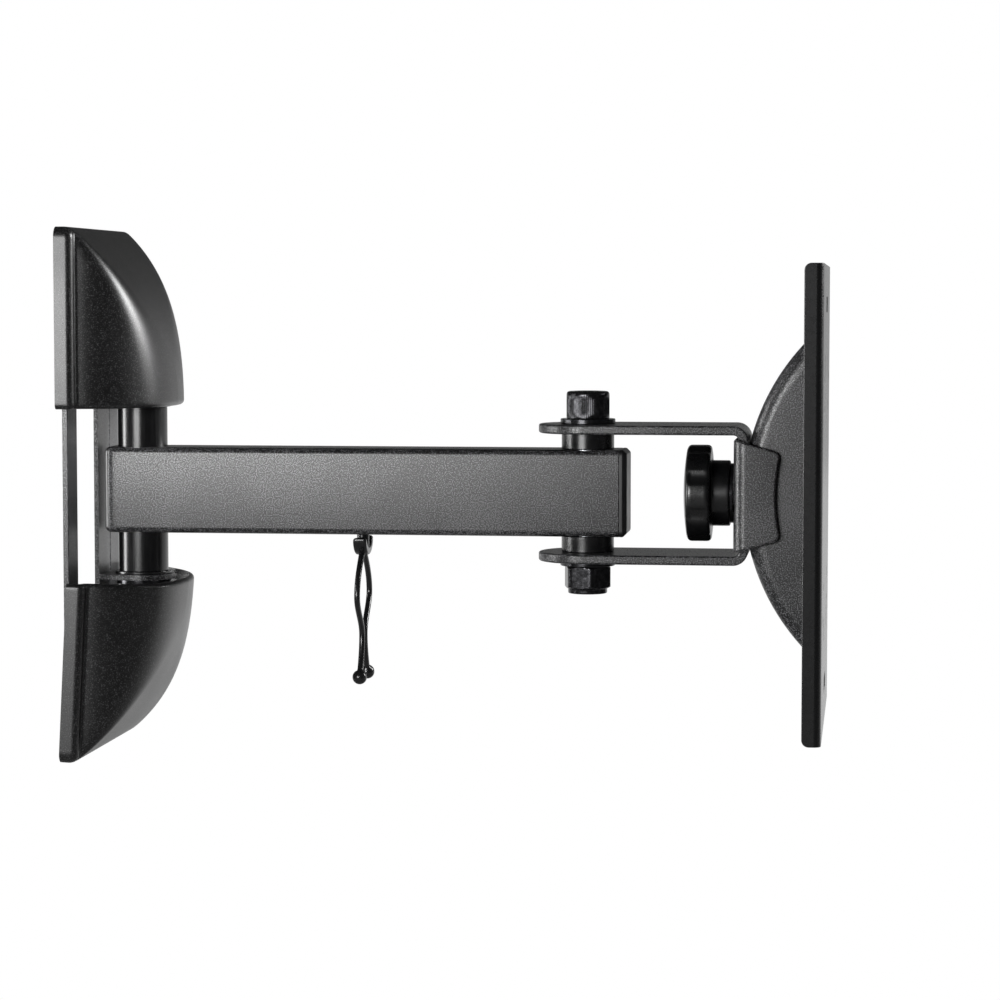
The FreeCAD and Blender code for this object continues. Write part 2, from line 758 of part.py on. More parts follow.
def make_yoke():
    outside = "yoke_inside + yoke_thickness"
    plate_outer = "yoke_plate_radius + yoke_thickness"
    wide = ("-yoke_half_width", "yoke_half_width")
    axis = {"x": "tilt_axis", "z": "0"}

    def shaped(name, half_height, radius, bend, reach):
        block = box(name + "Block", ("front_pivot - 40", "tilt_axis - 60"), reach,
                    ("-(%s)" % half_height, half_height))
        around = cylinder(name + "Around", "Y", radius, "-60", "60", **axis)
        piece = cut(name + "Cut", block, around)
        return round_edges(
            name, piece, bend,
            lambda middle, edge: abs(abs(middle.z) - abs(piece.Shape.BoundBox.ZMax)) < 0.01
            and middle.x > size("tilt_axis") - 110 and edge.BoundBox.YMax - edge.BoundBox.YMin > 30,
        )

    outer = shaped("YokeOuter", outside, "yoke_plate_radius", "yoke_bend", wide)
    inner = shaped("YokeInner", "yoke_inside", plate_outer, "yoke_inner_bend", ("-40", "40"))
    channel = cut("YokeChannel", outer, inner)
    end = cylinder("YokeEnd", "Z", "yoke_half_width", "-(%s)" % outside, outside, x="front_pivot")
    length = box("YokeLength", ("front_pivot", "tilt_axis"), wide, ("-(%s)" % outside, outside))
    legs = common("YokeLegs", channel, fuse("YokePlan", end, length))

    # side flanges: a block as wide as the fold, hollowed for the dome, with sloped ends
    body = new_body("YokeFlangeBlank")
    side = new_sketch(body, "XZ_Plane", "YokeFlangeSide")
    outline(side, [
        ("yoke_back", "-yoke_flange_back"),
        ("yoke_flange_end + 3", "-yoke_flange_front"),
        ("yoke_flange_end + 3", "yoke_flange_front"),
        ("yoke_back", "yoke_flange_back"),
    ])
    pad(body, side, "YokeFlangePad", "2 * (yoke_half_width + yoke_flange_thickness)", symmetric=True)
    front_edge = cylinder("YokeFlangeFront", "Y", "tilt_axis - yoke_flange_end", "-60", "60", **axis)
    hollow = common(
        "YokeFlangeHollow",
        cylinder("YokeFlangeRoom", "Y", "yoke_plate_radius", "-yoke_half_width", "yoke_half_width", **axis),
        box("YokeFlangeRoomBox", ("tilt_axis - 110", "tilt_axis"), wide, ("-60", "60")),
    )
    flanges = cut("YokeFlanges", body, front_edge, hollow)
    flanges = round_edges(
        "YokeFlangeCorners", flanges, "yoke_flange_corner",
        lambda middle, edge: middle.x > size("yoke_flange_end") + 1
        and abs(edge.Length - size("yoke_flange_thickness")) < 0.01,
    )
    flanges = round_edges(
        "YokeFlangesRounded", flanges, "yoke_flange_bend",
        lambda middle, edge: middle.x < size("yoke_back") + 0.5
        and abs(middle.y) > size("yoke_half_width") + 1
        and edge.BoundBox.ZMax - edge.BoundBox.ZMin > 30,
    )
    bolt_hole = cylinder("YokeBoltHole", "Z", "loose_hole_radius", "-60", "60", x="front_pivot")
    tilt_hole = cylinder("YokeTiltHole", "X", "tilt_bolt_radius + 0.3", "tilt_axis - 110", "tilt_axis")
    keep(cut("Yoke", fuse("YokeSolid", legs, flanges), bolt_hole, tilt_hole), "yoke")


def make_front_pivot():
    washer_low = "yoke_inside + yoke_thickness"
    head_low = washer_low + " + washer_thickness"
    head_high = head_low + " + socket_head_height"
    nut_top = "-(%s)" % head_low
    bolt_low = "%s - nut_height - nut_collar_height + 1" % nut_top
    shank = cylinder("FrontShank", "Z", "bolt_radius", bolt_low, head_low + " + 1", x="front_pivot")
    head = cylinder("FrontHead", "Z", "socket_head_radius", head_low, head_high, x="front_pivot")
    head = round_edges(
        "FrontHeadRounded", head, "socket_head_edge",
        lambda middle, edge: middle.z > 40 and not upright(edge),
    )
    socket = prism(
        "FrontSocket", "socket_half_width", head_high + " - socket_depth", head_high + " + 1",
        "front_pivot", 0,
    )
    keep(cut("FrontBolt", fuse("FrontBoltSolid", shank, head), socket), "front_bolt")
    washers = [
        ring(name + "FrontWasher", "Z", "washer_radius", "loose_hole_radius", low,
             low + " + washer_thickness", x="front_pivot")
        for name, low in (("Upper", washer_low), ("Lower", "-(%s) - washer_thickness" % washer_low))
    ]
    keep(group("FrontWashers", *washers), "front_washers")
    keep(lock_nut("FrontNut", nut_top, "front_pivot"), "front_nut")
    keep(nut_insert("FrontInsert", nut_top, "front_pivot"), "front_nut_insert")


# ---- tilt clamp


def make_tilt_clamp():
    axis = {"x": "tilt_axis", "z": "0"}
    outer = "dome_radius - dome_thickness - saddle_gap"
    band = ring("SaddleBand", "Y", outer, "%s - saddle_thickness" % outer,
                "-saddle_half_width", "saddle_half_width", **axis)
    block = box("SaddleBlock", ("tilt_axis - 110", "tilt_axis - 80"),
                ("-saddle_half_width", "saddle_half_width"), ("-saddle_half_height", "saddle_half_height"))
    hole = cylinder("SaddleHole", "X", "tilt_bolt_radius + 0.2", "tilt_axis - 110", "tilt_axis")
    keep(cut("Saddle", common("SaddleStrip", band, block), hole), "tilt_saddle")

    seat = "tilt_axis - dome_radius + dome_thickness + saddle_gap + saddle_thickness + 0.4"
    shank = cylinder("CarriageShank", "X", "tilt_bolt_radius", "tilt_bolt_end", seat + " + 1")
    head = cylinder("CarriageHead", "X", "carriage_head_radius", seat, seat + " + carriage_head_height")
    head = round_edges(
        "CarriageHeadRounded", head, "carriage_head_round",
        lambda middle, edge: edge.BoundBox.XMin > size("tilt_axis") - 88 and edge.Length > 20,
    )
    keep(fuse("TiltBolt", shank, head), "tilt_bolt")
    keep(ring(
        "ClampWasher", "X", "clamp_washer_radius", "tilt_bolt_radius + 0.3", "clamp_washer_back",
        "clamp_washer_back + clamp_washer_thickness",
    ), "clamp_washer")


def make_knob():
    disc = cylinder("KnobDisc", "X", "knob_radius", "knob_back", "knob_face")
    disc = round_edges(
        "KnobDiscRounded", disc, "knob_edge",
        lambda middle, edge: edge.BoundBox.XMax - edge.BoundBox.XMin < 0.1
    )
    grips = []
    for index in range(int(size("knob_grips"))):
        angle = 2 * math.pi * (index + 0.5) / size("knob_grips")
        reach = "(knob_radius + knob_grip_radius - knob_grip_depth)"
        grips.append(cylinder(
            "KnobGrip%d" % index, "X", "knob_grip_radius", "knob_back - 1", "knob_face + 1",
            y="%s * %.9f" % (reach, math.cos(angle)), z="%s * %.9f" % (reach, math.sin(angle)),
        ))
    hub = cylinder("KnobHub", "X", "hub_radius", "knob_face - 1", "clamp_washer_back")
    solid = fuse("KnobSolid", cut("KnobScalloped", disc, *grips), hub)
    bore = cylinder("KnobBore", "X", "tilt_bolt_clear + 0.2", "knob_bore_end", "clamp_washer_back + 1")
    seat = cylinder(
        "KnobInsertSeat", "X", "insert_radius", "insert_back", "clamp_washer_back + 1"
    )
    keep(cut("Knob", solid, bore, seat), "knob")
    keep(ring(
        "KnobInsert", "X", "insert_radius - 0.05", "tilt_bolt_clear", "insert_back + 0.05",
        "clamp_washer_back",
    ), "knob_insert")


# ---- screen side


def make_tilt_dome():
    axis = {"x": "tilt_axis", "z": "0"}
    back = "screen_face - screen_thickness"

    def pressed(name, radius, half_width, edge_radius, limit):
        wide = ("-(%s)" % half_width, half_width)
        disc = cylinder(name + "Disc", "Y", radius, *wide, **axis)
        block = box(name + "Block", ("tilt_axis - 110", limit), wide, ("-100", "100"))
        segment = common(name + "Segment", disc, block)
        return round_edges(
            name, segment, edge_radius,
            lambda middle, edge: abs(middle.y) > 1 and edge.BoundBox.XMax - edge.BoundBox.XMin > 20,
        )

    outer = pressed("DomeOuter", "dome_radius", "dome_half_width", "dome_edge", back)
    inner = pressed(
        "DomeInner", "dome_radius - dome_thickness", "dome_half_width - dome_thickness",
        "dome_inner_edge", back + " + 2",
    )
    slot = fuse(
        "DomeSlot",
        box("DomeSlotBox", ("tilt_axis - 110", "tilt_axis - 75"),
            ("-dome_slot_half_width", "dome_slot_half_width"),
            ("-dome_slot_half_length + dome_slot_half_width",
             "dome_slot_half_length - dome_slot_half_width")),
        *[
            cylinder(name + "DomeSlotEnd", "X", "dome_slot_half_width", "tilt_axis - 110", "tilt_axis - 75",
                     z="%s(dome_slot_half_length - dome_slot_half_width)" % sign)
            for name, sign in signs
        ],
    )
    keep(cut("Dome", outer, inner, slot), "tilt_dome")


def make_vesa_plate():
    body = new_body("ScreenPlateBody")
    plan = new_sketch(body, "XY_Plane", "ScreenPlatePlan")
    face, edge_y = "screen_face", "screen_half_width"
    back = "screen_face - screen_thickness"
    flange = "screen_face - screen_flange_depth"
    inner_y = "(screen_half_width - screen_thickness)"
    outline(plan, [
        (face, "-" + edge_y), (face, edge_y), (flange, edge_y), (flange, inner_y),
        (back, inner_y), (back, "-" + inner_y), (flange, "-" + inner_y), (flange, "-" + edge_y),
    ])
    plate = pad(body, plan, "ScreenPlatePad", "2 * screen_half_height", symmetric=True)
    plate = round_body(
        body, plate, "ScreenPlateBends", "screen_corner",
        lambda middle, edge: upright(edge) and middle.x > size("screen_face") - 0.1,
    )
    round_body(
        body, plate, "ScreenPlateFlangeEnds", "screen_corner",
        lambda middle, edge: abs(edge.Length - size("screen_thickness")) < 1e-6
        and middle.x < size("screen_face") - size("screen_flange_depth") + 0.1,
    )
    deep = ("screen_face - 12", "screen_face + 2")
    tools = []
    for pattern in ("small_pattern", "large_pattern"):
        for number, (side, height) in enumerate((("", ""), ("", "-"), ("-", ""), ("-", "-"))):
            tools.append(cylinder(
                "%sHole%d" % (pattern.split("_")[0].title(), number), "X", "screen_hole_radius", *deep,
                y=side + pattern, z=height + pattern,
            ))
    for name, sign in signs:
        middle = sign + "end_slot_height"
        tools.append(box(
            name + "EndSlot", deep, ("-end_slot_half_width", "end_slot_half_width"),
            ("%s - end_slot_half_height" % middle, "%s + end_slot_half_height" % middle),
        ))
        for side_name, side in (("Near", "-"), ("Far", "")):
            across = side + "tab_slot_place"
            up = sign + "tab_slot_height"
            tools.append(box(
                name + side_name + "TabSlot", deep,
                ("%s - tab_slot_half_width" % across, "%s + tab_slot_half_width" % across),
                ("%s - tab_slot_half_height" % up, "%s + tab_slot_half_height" % up),
            ))
    keep(cut("ScreenPlate", body, *tools), "vesa_plate")


# ---- the whole mount

upside_down = FreeCAD.Placement(FreeCAD.Vector(), FreeCAD.Rotation(FreeCAD.Vector(1, 0, 0), 180))
lean = FreeCAD.Placement(
    FreeCAD.Vector(size("lower_cover_tip_gap"), 0, -size("lower_cover_drop")),
    FreeCAD.Rotation(FreeCAD.Vector(0, 1, 0), size("lower_cover_lean")),
    FreeCAD.Vector(0, 0, -size("cover_height")),
)

make_wall_plate()
make_pivot_bracket()
make_bracket_fasteners()
make_cover("upper_cover", FreeCAD.Placement())
make_cover("lower_cover", lean.multiply(upside_down))
make_rear_pivot()
make_arm()
make_pivot_parts()
make_cable_clip()
make_yoke()
make_front_pivot()
make_tilt_clamp()
make_knob()
make_tilt_dome()
make_vesa_plate()
doc.recompute()

for item in doc.Objects:
    if "Invalid" in item.State or "Error" in item.State:
        raise RuntimeError("failed feature: %s" % item.Name)

os.makedirs("parts", exist_ok=True)
for node in nodes:
    if node.Shape.isNull() or not node.Shape.isValid() or node.Shape.Volume <= 0:
        raise RuntimeError("bad shape: %s" % node.Label)
for node in nodes:
    node.Shape.exportStep("parts/%s.step" % node.Label)
    print("%-20s %d solid(s) %10.1f mm3" % (node.Label, len(node.Shape.Solids), node.Shape.Volume))
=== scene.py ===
import json
import math
import bmesh
import bpy
import numpy as np
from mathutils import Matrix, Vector


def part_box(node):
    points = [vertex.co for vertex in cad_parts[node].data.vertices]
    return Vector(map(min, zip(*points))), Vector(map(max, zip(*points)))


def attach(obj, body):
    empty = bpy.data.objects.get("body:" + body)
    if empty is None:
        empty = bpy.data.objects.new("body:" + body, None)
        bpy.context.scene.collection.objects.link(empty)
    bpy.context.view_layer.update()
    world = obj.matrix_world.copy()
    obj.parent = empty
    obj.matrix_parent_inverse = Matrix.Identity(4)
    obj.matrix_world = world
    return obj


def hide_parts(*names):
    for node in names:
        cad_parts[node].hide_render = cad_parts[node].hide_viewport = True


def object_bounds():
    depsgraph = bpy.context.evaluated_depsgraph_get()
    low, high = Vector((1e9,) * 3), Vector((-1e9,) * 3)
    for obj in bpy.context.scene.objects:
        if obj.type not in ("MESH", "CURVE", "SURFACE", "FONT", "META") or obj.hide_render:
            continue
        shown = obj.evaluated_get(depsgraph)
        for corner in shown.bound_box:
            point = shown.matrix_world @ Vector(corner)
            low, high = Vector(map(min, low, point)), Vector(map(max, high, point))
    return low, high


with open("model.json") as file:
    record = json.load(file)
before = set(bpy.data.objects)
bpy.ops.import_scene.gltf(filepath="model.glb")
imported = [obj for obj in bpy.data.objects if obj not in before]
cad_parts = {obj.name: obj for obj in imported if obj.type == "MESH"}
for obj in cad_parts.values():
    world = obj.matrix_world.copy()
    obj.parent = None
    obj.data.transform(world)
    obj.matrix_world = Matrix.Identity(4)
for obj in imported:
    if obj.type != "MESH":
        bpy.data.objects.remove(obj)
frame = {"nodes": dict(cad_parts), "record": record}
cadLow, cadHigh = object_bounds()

mm = 0.001
nodes = frame["nodes"]

# ---- the view and the studio

cameraView = {
    "aimAt": (0.1856, 0.0, -0.0039),  # metres, about the middle of the mount
    "azimuth": 7.2,  # degrees towards the screen side
    "elevation": 3.9,  # degrees above level
    "distance": 1.3,
    "lens": 106.4,  # on a 36 mm sensor
}

studio = {
    "ambient": 0.05,  # light from all round, apart from the lamps
    "backdrop": 0.6,  # brightness of the lit wall behind the mount, on its +Y side
    "floorDrop": 0.22,  # metres below the lowest point of the mount
    "lamps": {  # azimuth, elevation, distance, width, height, watts
        "frontLeftBox": (-20, 5, 1.5, 0.62, 0.32, 14.5),
        "leftBox": (-88, 6, 1.4, 0.66, 0.80, 26.0),
        "rightPanel": (110, 20, 1.4, 0.66, 0.50, 26.0),
    },
}


def directionTo(azimuth, elevation):
    # unit vector: (sin a cos e, -cos a cos e, sin e), azimuth 0 being in front of the mount's -Y side
    turn, rise = math.radians(azimuth), math.radians(elevation)
    return Vector((math.sin(turn) * math.cos(rise), -math.cos(turn) * math.cos(rise), math.sin(rise)))


def makeCamera(view):
    back = directionTo(view["azimuth"], view["elevation"])
    camera = bpy.data.objects.new("camera", bpy.data.cameras.new("camera"))
    camera.data.lens = view["lens"]
    camera.data.sensor_width = 36.0
    camera.location = Vector(view["aimAt"]) + back * view["distance"]
    camera.rotation_euler = (-back).to_track_quat("-Z", "Y").to_euler()
    bpy.context.scene.collection.objects.link(camera)
    bpy.context.scene.camera = camera


def makeLamps(lamps, aimAt):
    for name, (azimuth, elevation, distance, width, height, watts) in lamps.items():
        lamp = bpy.data.objects.new(name, bpy.data.lights.new(name, "AREA"))
        lamp.data.shape = "RECTANGLE"
        lamp.data.size, lamp.data.size_y = width, height
        lamp.data.energy = watts
        back = directionTo(azimuth, elevation)
        lamp.location = Vector(aimAt) + back * distance
        lamp.rotation_euler = (-back).to_track_quat("-Z", "Y").to_euler()
        bpy.context.scene.collection.objects.link(lamp)


# ---- colours and nodes

def toLinear(hexColour):
    # sRGB to linear: c / 12.92 below 0.04045, otherwise ((c + 0.055) / 1.055) to the power 2.4
    parts = np.array([int(hexColour[i:i + 2], 16) for i in (1, 3, 5)]) / 255
    linear = np.where(parts <= 0.04045, parts / 12.92, ((parts + 0.055) / 1.055) ** 2.4)
    return (*linear.tolist(), 1.0)


def addNode(tree, kind, settings=None, sockets=None):
    # one node, its properties, and its sockets, each either linked or given a value
    node = tree.nodes.new(kind)
    for name, value in (settings or {}).items():
        setattr(node, name, value)
    for name, value in (sockets or {}).items():
        if isinstance(value, bpy.types.NodeSocket):
            tree.links.new(value, node.inputs[name])
        else:
            node.inputs[name].default_value = value
    return node


def startMaterial(name, shaderSettings):
    # a material with its Principled shader set up, and the spot on the piece that patterns read
    material = bpy.data.materials.new(name)
    material.use_nodes = True
    tree = material.node_tree
    tree.nodes.clear()
    shader = addNode(tree, "ShaderNodeBsdfPrincipled", sockets=shaderSettings)
    output = addNode(tree, "ShaderNodeOutputMaterial")
    tree.links.new(shader.outputs["BSDF"], output.inputs["Surface"])
    spot = addNode(tree, "ShaderNodeTexCoord").outputs["Object"]
    return material, tree, shader, spot


def perMetre(widthMm):
    return 1 / (widthMm * mm)  # noise scale for features this wide


def rampBetween(tree, source, stops):
    # a colour ramp with the given (place, hex colour or grey level) stops
    ramp = addNode(tree, "ShaderNodeValToRGB", sockets={"Fac": source})
    elements = ramp.color_ramp.elements
    for index, (place, shade) in enumerate(stops):
        element = elements[index] if index < 2 else elements.new(place)
        element.position = place
        element.color = toLinear(shade) if isinstance(shade, str) else (shade, shade, shade, 1)
    return ramp.outputs["Color"]


# ---- finishes

def powderCoatedSteel():
    # steel sheet and tube under baked polyester powder: a fine orange-peel grain that glints grey
    material, tree, shader, spot = startMaterial("powder_coated_steel", {"IOR": 1.5})
    grain = addNode(tree, "ShaderNodeTexNoise", sockets={  # powder flow in 0.5 mm grains
        "Vector": spot, "Scale": perMetre(0.5), "Detail": 1.0, "Roughness": 0.5}).outputs["Fac"]
    cloud = addNode(tree, "ShaderNodeTexNoise", sockets={  # film thickness changes over some 30 mm
        "Vector": spot, "Scale": perMetre(30.0), "Detail": 1.0}).outputs["Fac"]
    mixed = addNode(tree, "ShaderNodeMath", {"operation": "MULTIPLY_ADD"}, {0: cloud, 1: 0.12, 2: grain})
    tree.links.new(
        rampBetween(tree, mixed.outputs[0], [(0.48, "#030304"), (0.58, "#0c0c0d"), (0.68, "#727274")]),
        shader.inputs["Base Color"])
    tree.links.new(rampBetween(tree, grain, [(0.35, 0.42), (0.65, 0.24)]), shader.inputs["Roughness"])
    relief = addNode(tree, "ShaderNodeBump", sockets={
        "Height": grain, "Strength": 0.9, "Distance": 0.06 * mm})
    tree.links.new(relief.outputs["Normal"], shader.inputs["Normal"])
    return material


def satinBlackPaint():
    # steel sheet under smooth stoved paint: darker and glossier, with slight flow marks
    material, tree, shader, spot = startMaterial("satin_black_paint", {"IOR": 1.5})
    flow = addNode(tree, "ShaderNodeTexNoise", sockets={  # paint flow, 2.5 mm
        "Vector": spot, "Scale": perMetre(2.5), "Detail": 3.0}).outputs["Fac"]
    grain = addNode(tree, "ShaderNodeTexNoise", sockets={  # dust and fine orange peel, 0.8 mm
        "Vector": spot, "Scale": perMetre(0.8), "Detail": 1.0}).outputs["Fac"]
    tree.links.new(rampBetween(tree, flow, [(0.3, "#0f0f10"), (0.7, "#151516")]), shader.inputs["Base Color"])
    tree.links.new(rampBetween(tree, flow, [(0.3, 0.30), (0.7, 0.26)]), shader.inputs["Roughness"])
    relief = addNode(tree, "ShaderNodeBump", sockets={
        "Height": grain, "Strength": 0.2, "Distance": 0.03 * mm})
    tree.links.new(relief.outputs["Normal"], shader.inputs["Normal"])
    return material


def sparkGrainedAbs():
    # moulded ABS from a spark-eroded tool: an even matt grain with a soft, broad sheen
    material, tree, shader, spot = startMaterial("moulded_abs", {"IOR": 1.53})
    grain = addNode(tree, "ShaderNodeTexNoise", sockets={  # erosion pits, 0.5 mm
        "Vector": spot, "Scale": perMetre(0.5), "Detail": 1.0, "Roughness": 0.55}).outputs["Fac"]
    flow = addNode(tree, "ShaderNodeTexNoise", sockets={  # melt flow, 40 mm
        "Vector": spot, "Scale": perMetre(40.0), "Detail": 1.0}).outputs["Fac"]
    tree.links.new(
        rampBetween(tree, grain, [(0.44, "#090909"), (0.56, "#121213"), (0.68, "#4a4a4b")]),
        shader.inputs["Base Color"])
    tree.links.new(rampBetween(tree, flow, [(0.3, 0.36), (0.7, 0.31)]), shader.inputs["Roughness"])
    relief = addNode(tree, "ShaderNodeBump", sockets={
        "Height": grain, "Strength": 0.5, "Distance": 0.06 * mm})
    tree.links.new(relief.outputs["Normal"], shader.inputs["Normal"])
    return material


def glossBlackEnamel():
    # drawn steel tube under gloss enamel: near black, sharp upright glints, faint draw lines
    material, tree, shader, spot = startMaterial("gloss_black_steel", {
        "IOR": 1.5})
    level = addNode(tree, "ShaderNodeMapping", sockets={"Vector": spot, "Scale": (1.0, 1.0, 0.06)})
    lines = addNode(tree, "ShaderNodeTexNoise", sockets={  # draw lines, 0.7 mm wide, run up the tube
        "Vector": level.outputs["Vector"], "Scale": perMetre(0.7), "Detail": 2.0}).outputs["Fac"]
    tree.links.new(rampBetween(tree, lines, [(0.3, "#0c0c0d"), (0.7, "#161617")]), shader.inputs["Base Color"])
    tree.links.new(rampBetween(tree, lines, [(0.3, 0.20), (0.7, 0.27)]), shader.inputs["Roughness"])
    relief = addNode(tree, "ShaderNodeBump", sockets={
        "Height": lines, "Strength": 0.15, "Distance": 0.02 * mm})
    tree.links.new(relief.outputs["Normal"], shader.inputs["Normal"])
    return material


def blackOxideSteel():
    # forged and turned steel, blacked and oiled: dark metal with turning marks and worn, greyer spots
    material, tree, shader, spot = startMaterial("black_zinc_fasteners", {"Metallic": 0.85})
    rings = addNode(tree, "ShaderNodeMapping", sockets={"Vector": spot, "Scale": (0.08, 0.08, 1.0)})
    marks = addNode(tree, "ShaderNodeTexNoise", sockets={  # turning marks, 0.5 mm apart along the axis
        "Vector": rings.outputs["Vector"], "Scale": perMetre(0.5), "Detail": 2.0}).outputs["Fac"]
    wear = addNode(tree, "ShaderNodeTexNoise", sockets={  # where the oxide is thin, 1.5 mm
        "Vector": spot, "Scale": perMetre(1.5), "Detail": 3.0}).outputs["Fac"]
    tree.links.new(
        rampBetween(tree, wear, [(0.35, "#2c2c2e"), (0.60, "#3c3c3e"), (0.80, "#58585b")]),
        shader.inputs["Base Color"])
    tree.links.new(rampBetween(tree, wear, [(0.3, 0.20), (0.7, 0.26)]), shader.inputs["Roughness"])
    relief = addNode(tree, "ShaderNodeBump", sockets={
        "Height": marks, "Strength": 0.4, "Distance": 0.02 * mm})
    tree.links.new(relief.outputs["Normal"], shader.inputs["Normal"])
    return material


def brightZincPlate():
    # steel screws and nuts under bright zinc: pale, slightly bluish metal, a little cloudy
    material, tree, shader, spot = startMaterial("plated_fasteners", {"Metallic": 1.0})
    cloud = addNode(tree, "ShaderNodeTexNoise", sockets={  # plating bloom, 2 mm
        "Vector": spot, "Scale": perMetre(2.0), "Detail": 4.0}).outputs["Fac"]
    tree.links.new(rampBetween(tree, cloud, [(0.3, "#9a9da1"), (0.7, "#c3c6c9")]), shader.inputs["Base Color"])
    tree.links.new(rampBetween(tree, cloud, [(0.3, 0.22), (0.7, 0.36)]), shader.inputs["Roughness"])
    relief = addNode(tree, "ShaderNodeBump", sockets={
        "Height": cloud, "Strength": 0.15, "Distance": 0.04 * mm})
    tree.links.new(relief.outputs["Normal"], shader.inputs["Normal"])
    return material


def turnedBrass():
    # free-cutting brass turned on a lathe: warm yellow with rings of tool marks
    material, tree, shader, spot = startMaterial("brass_insert", {"Metallic": 1.0})
    rings = addNode(tree, "ShaderNodeMapping", sockets={"Vector": spot, "Scale": (1.0, 0.1, 0.1)})
    marks = addNode(tree, "ShaderNodeTexNoise", sockets={  # tool marks, 0.4 mm apart
        "Vector": rings.outputs["Vector"], "Scale": perMetre(0.4), "Detail": 2.0}).outputs["Fac"]
    tree.links.new(rampBetween(tree, marks, [(0.3, "#a98a4c"), (0.7, "#cdb072")]), shader.inputs["Base Color"])
    tree.links.new(rampBetween(tree, marks, [(0.3, 0.24), (0.7, 0.36)]), shader.inputs["Roughness"])
    return material


def mouldedNylon(name, dark, light, smooth, rough, coat):
    # injection-moulded nylon: satin black, with faint melt flow that varies the gloss
    material, tree, shader, spot = startMaterial(name, {
        "IOR": 1.53, "Coat Weight": coat, "Coat Roughness": 0.12})
    flow = addNode(tree, "ShaderNodeTexNoise", sockets={  # melt flow, 6 mm
        "Vector": spot, "Scale": perMetre(6.0), "Detail": 4.0}).outputs["Fac"]
    grain = addNode(tree, "ShaderNodeTexNoise", sockets={  # tool polish marks, 0.6 mm
        "Vector": spot, "Scale": perMetre(0.6), "Detail": 2.0}).outputs["Fac"]
    tree.links.new(rampBetween(tree, flow, [(0.3, dark), (0.7, light)]), shader.inputs["Base Color"])
    tree.links.new(rampBetween(tree, flow, [(0.3, smooth), (0.7, rough)]), shader.inputs["Roughness"])
    relief = addNode(tree, "ShaderNodeBump", sockets={
        "Height": grain, "Strength": 0.25, "Distance": 0.04 * mm})
    tree.links.new(relief.outputs["Normal"], shader.inputs["Normal"])
    return material


finishes = {
    "powder_coated_steel": powderCoatedSteel(),
    "satin_black_paint": satinBlackPaint(),
    "moulded_abs": sparkGrainedAbs(),
    "gloss_black_steel": glossBlackEnamel(),
    "black_zinc_fasteners": blackOxideSteel(),
    "plated_fasteners": brightZincPlate(),
    "brass_insert": turnedBrass(),
    "black_nylon": mouldedNylon("black_nylon", "#0f0f10", "#1a1a1b", 0.20, 0.30, 0.0),
    "knob_plastic": mouldedNylon("knob_plastic", "#0a0a0b", "#111112", 0.25, 0.33, 0.0),
    "end_cap_plastic": mouldedNylon("end_cap_plastic", "#161617", "#222223", 0.38, 0.46, 0.0),
}
slotOf = {part["node"]: part["material_slot"] for part in frame["record"]["subparts"]}
bodyOf = {
    node: body for body, members in frame["record"]["behaviour"]["bodies"].items() for node in members
}
print("finishes made:", len(finishes))


# ---- building surfaces

def finishPiece(piece, node, replaced=None):
    # gives a new piece the finish, slot and body of the node that it stands for
    piece.data.materials.clear()
    piece.data.materials.append(finishes[slotOf[node]])
    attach(piece, bodyOf[node])
    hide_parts(*(replaced or [node]))
    return piece


def gridFaces(rows, columns, closeAlong, start):
    # quads between neighbouring rings; columns always wrap, rows wrap when closeAlong is set
    ring = np.arange(rows if closeAlong else rows - 1)[:, None]
    place = np.arange(columns)[None, :]
    after, beside = (ring + 1) % rows, (place + 1) % columns
    quads = np.stack([ring * columns + place, ring * columns + beside,
                      after * columns + beside, after * columns + place], axis=-1)
    return quads.reshape(-1, 4) + start


def meshOfGrids(name, grids, smoothAngle=38):
    # joins closed surfaces into one mesh: each is (grid, closeAlong), and open ends close in a pole
    points, faces, start = [], [], 0
    for grid, closeAlong in grids:
        rows, columns = grid.shape[:2]
        points.append(grid.reshape(-1, 3))
        faces += gridFaces(rows, columns, closeAlong, start).tolist()
        if not closeAlong:
            points.append(np.stack([grid[0].mean(axis=0), grid[-1].mean(axis=0)]))
            place = np.arange(columns)
            beside = (place + 1) % columns
            lowPole, last = start + rows * columns, start + (rows - 1) * columns
            low = np.stack([np.full(columns, lowPole), start + beside, start + place], axis=-1)
            high = np.stack([np.full(columns, lowPole + 1), last + place, last + beside], axis=-1)
            faces += low.tolist() + high.tolist()
        start += len(points[-1]) + (0 if closeAlong else rows * columns)
    mesh = bpy.data.meshes.new(name)
    mesh.from_pydata(np.concatenate(points).tolist(), [], faces)
    shape = bmesh.new()
    shape.from_mesh(mesh)
    bmesh.ops.remove_doubles(shape, verts=shape.verts, dist=1e-7)
    bmesh.ops.recalc_face_normals(shape, faces=shape.faces)
    shape.to_mesh(mesh)
    shape.free()
    mesh.polygons.foreach_set("use_smooth", np.ones(len(mesh.polygons), bool))
    mesh.set_sharp_from_angle(angle=math.radians(smoothAngle))
    piece = bpy.data.objects.new(name, mesh)
    bpy.context.scene.collection.objects.link(piece)
    return piece


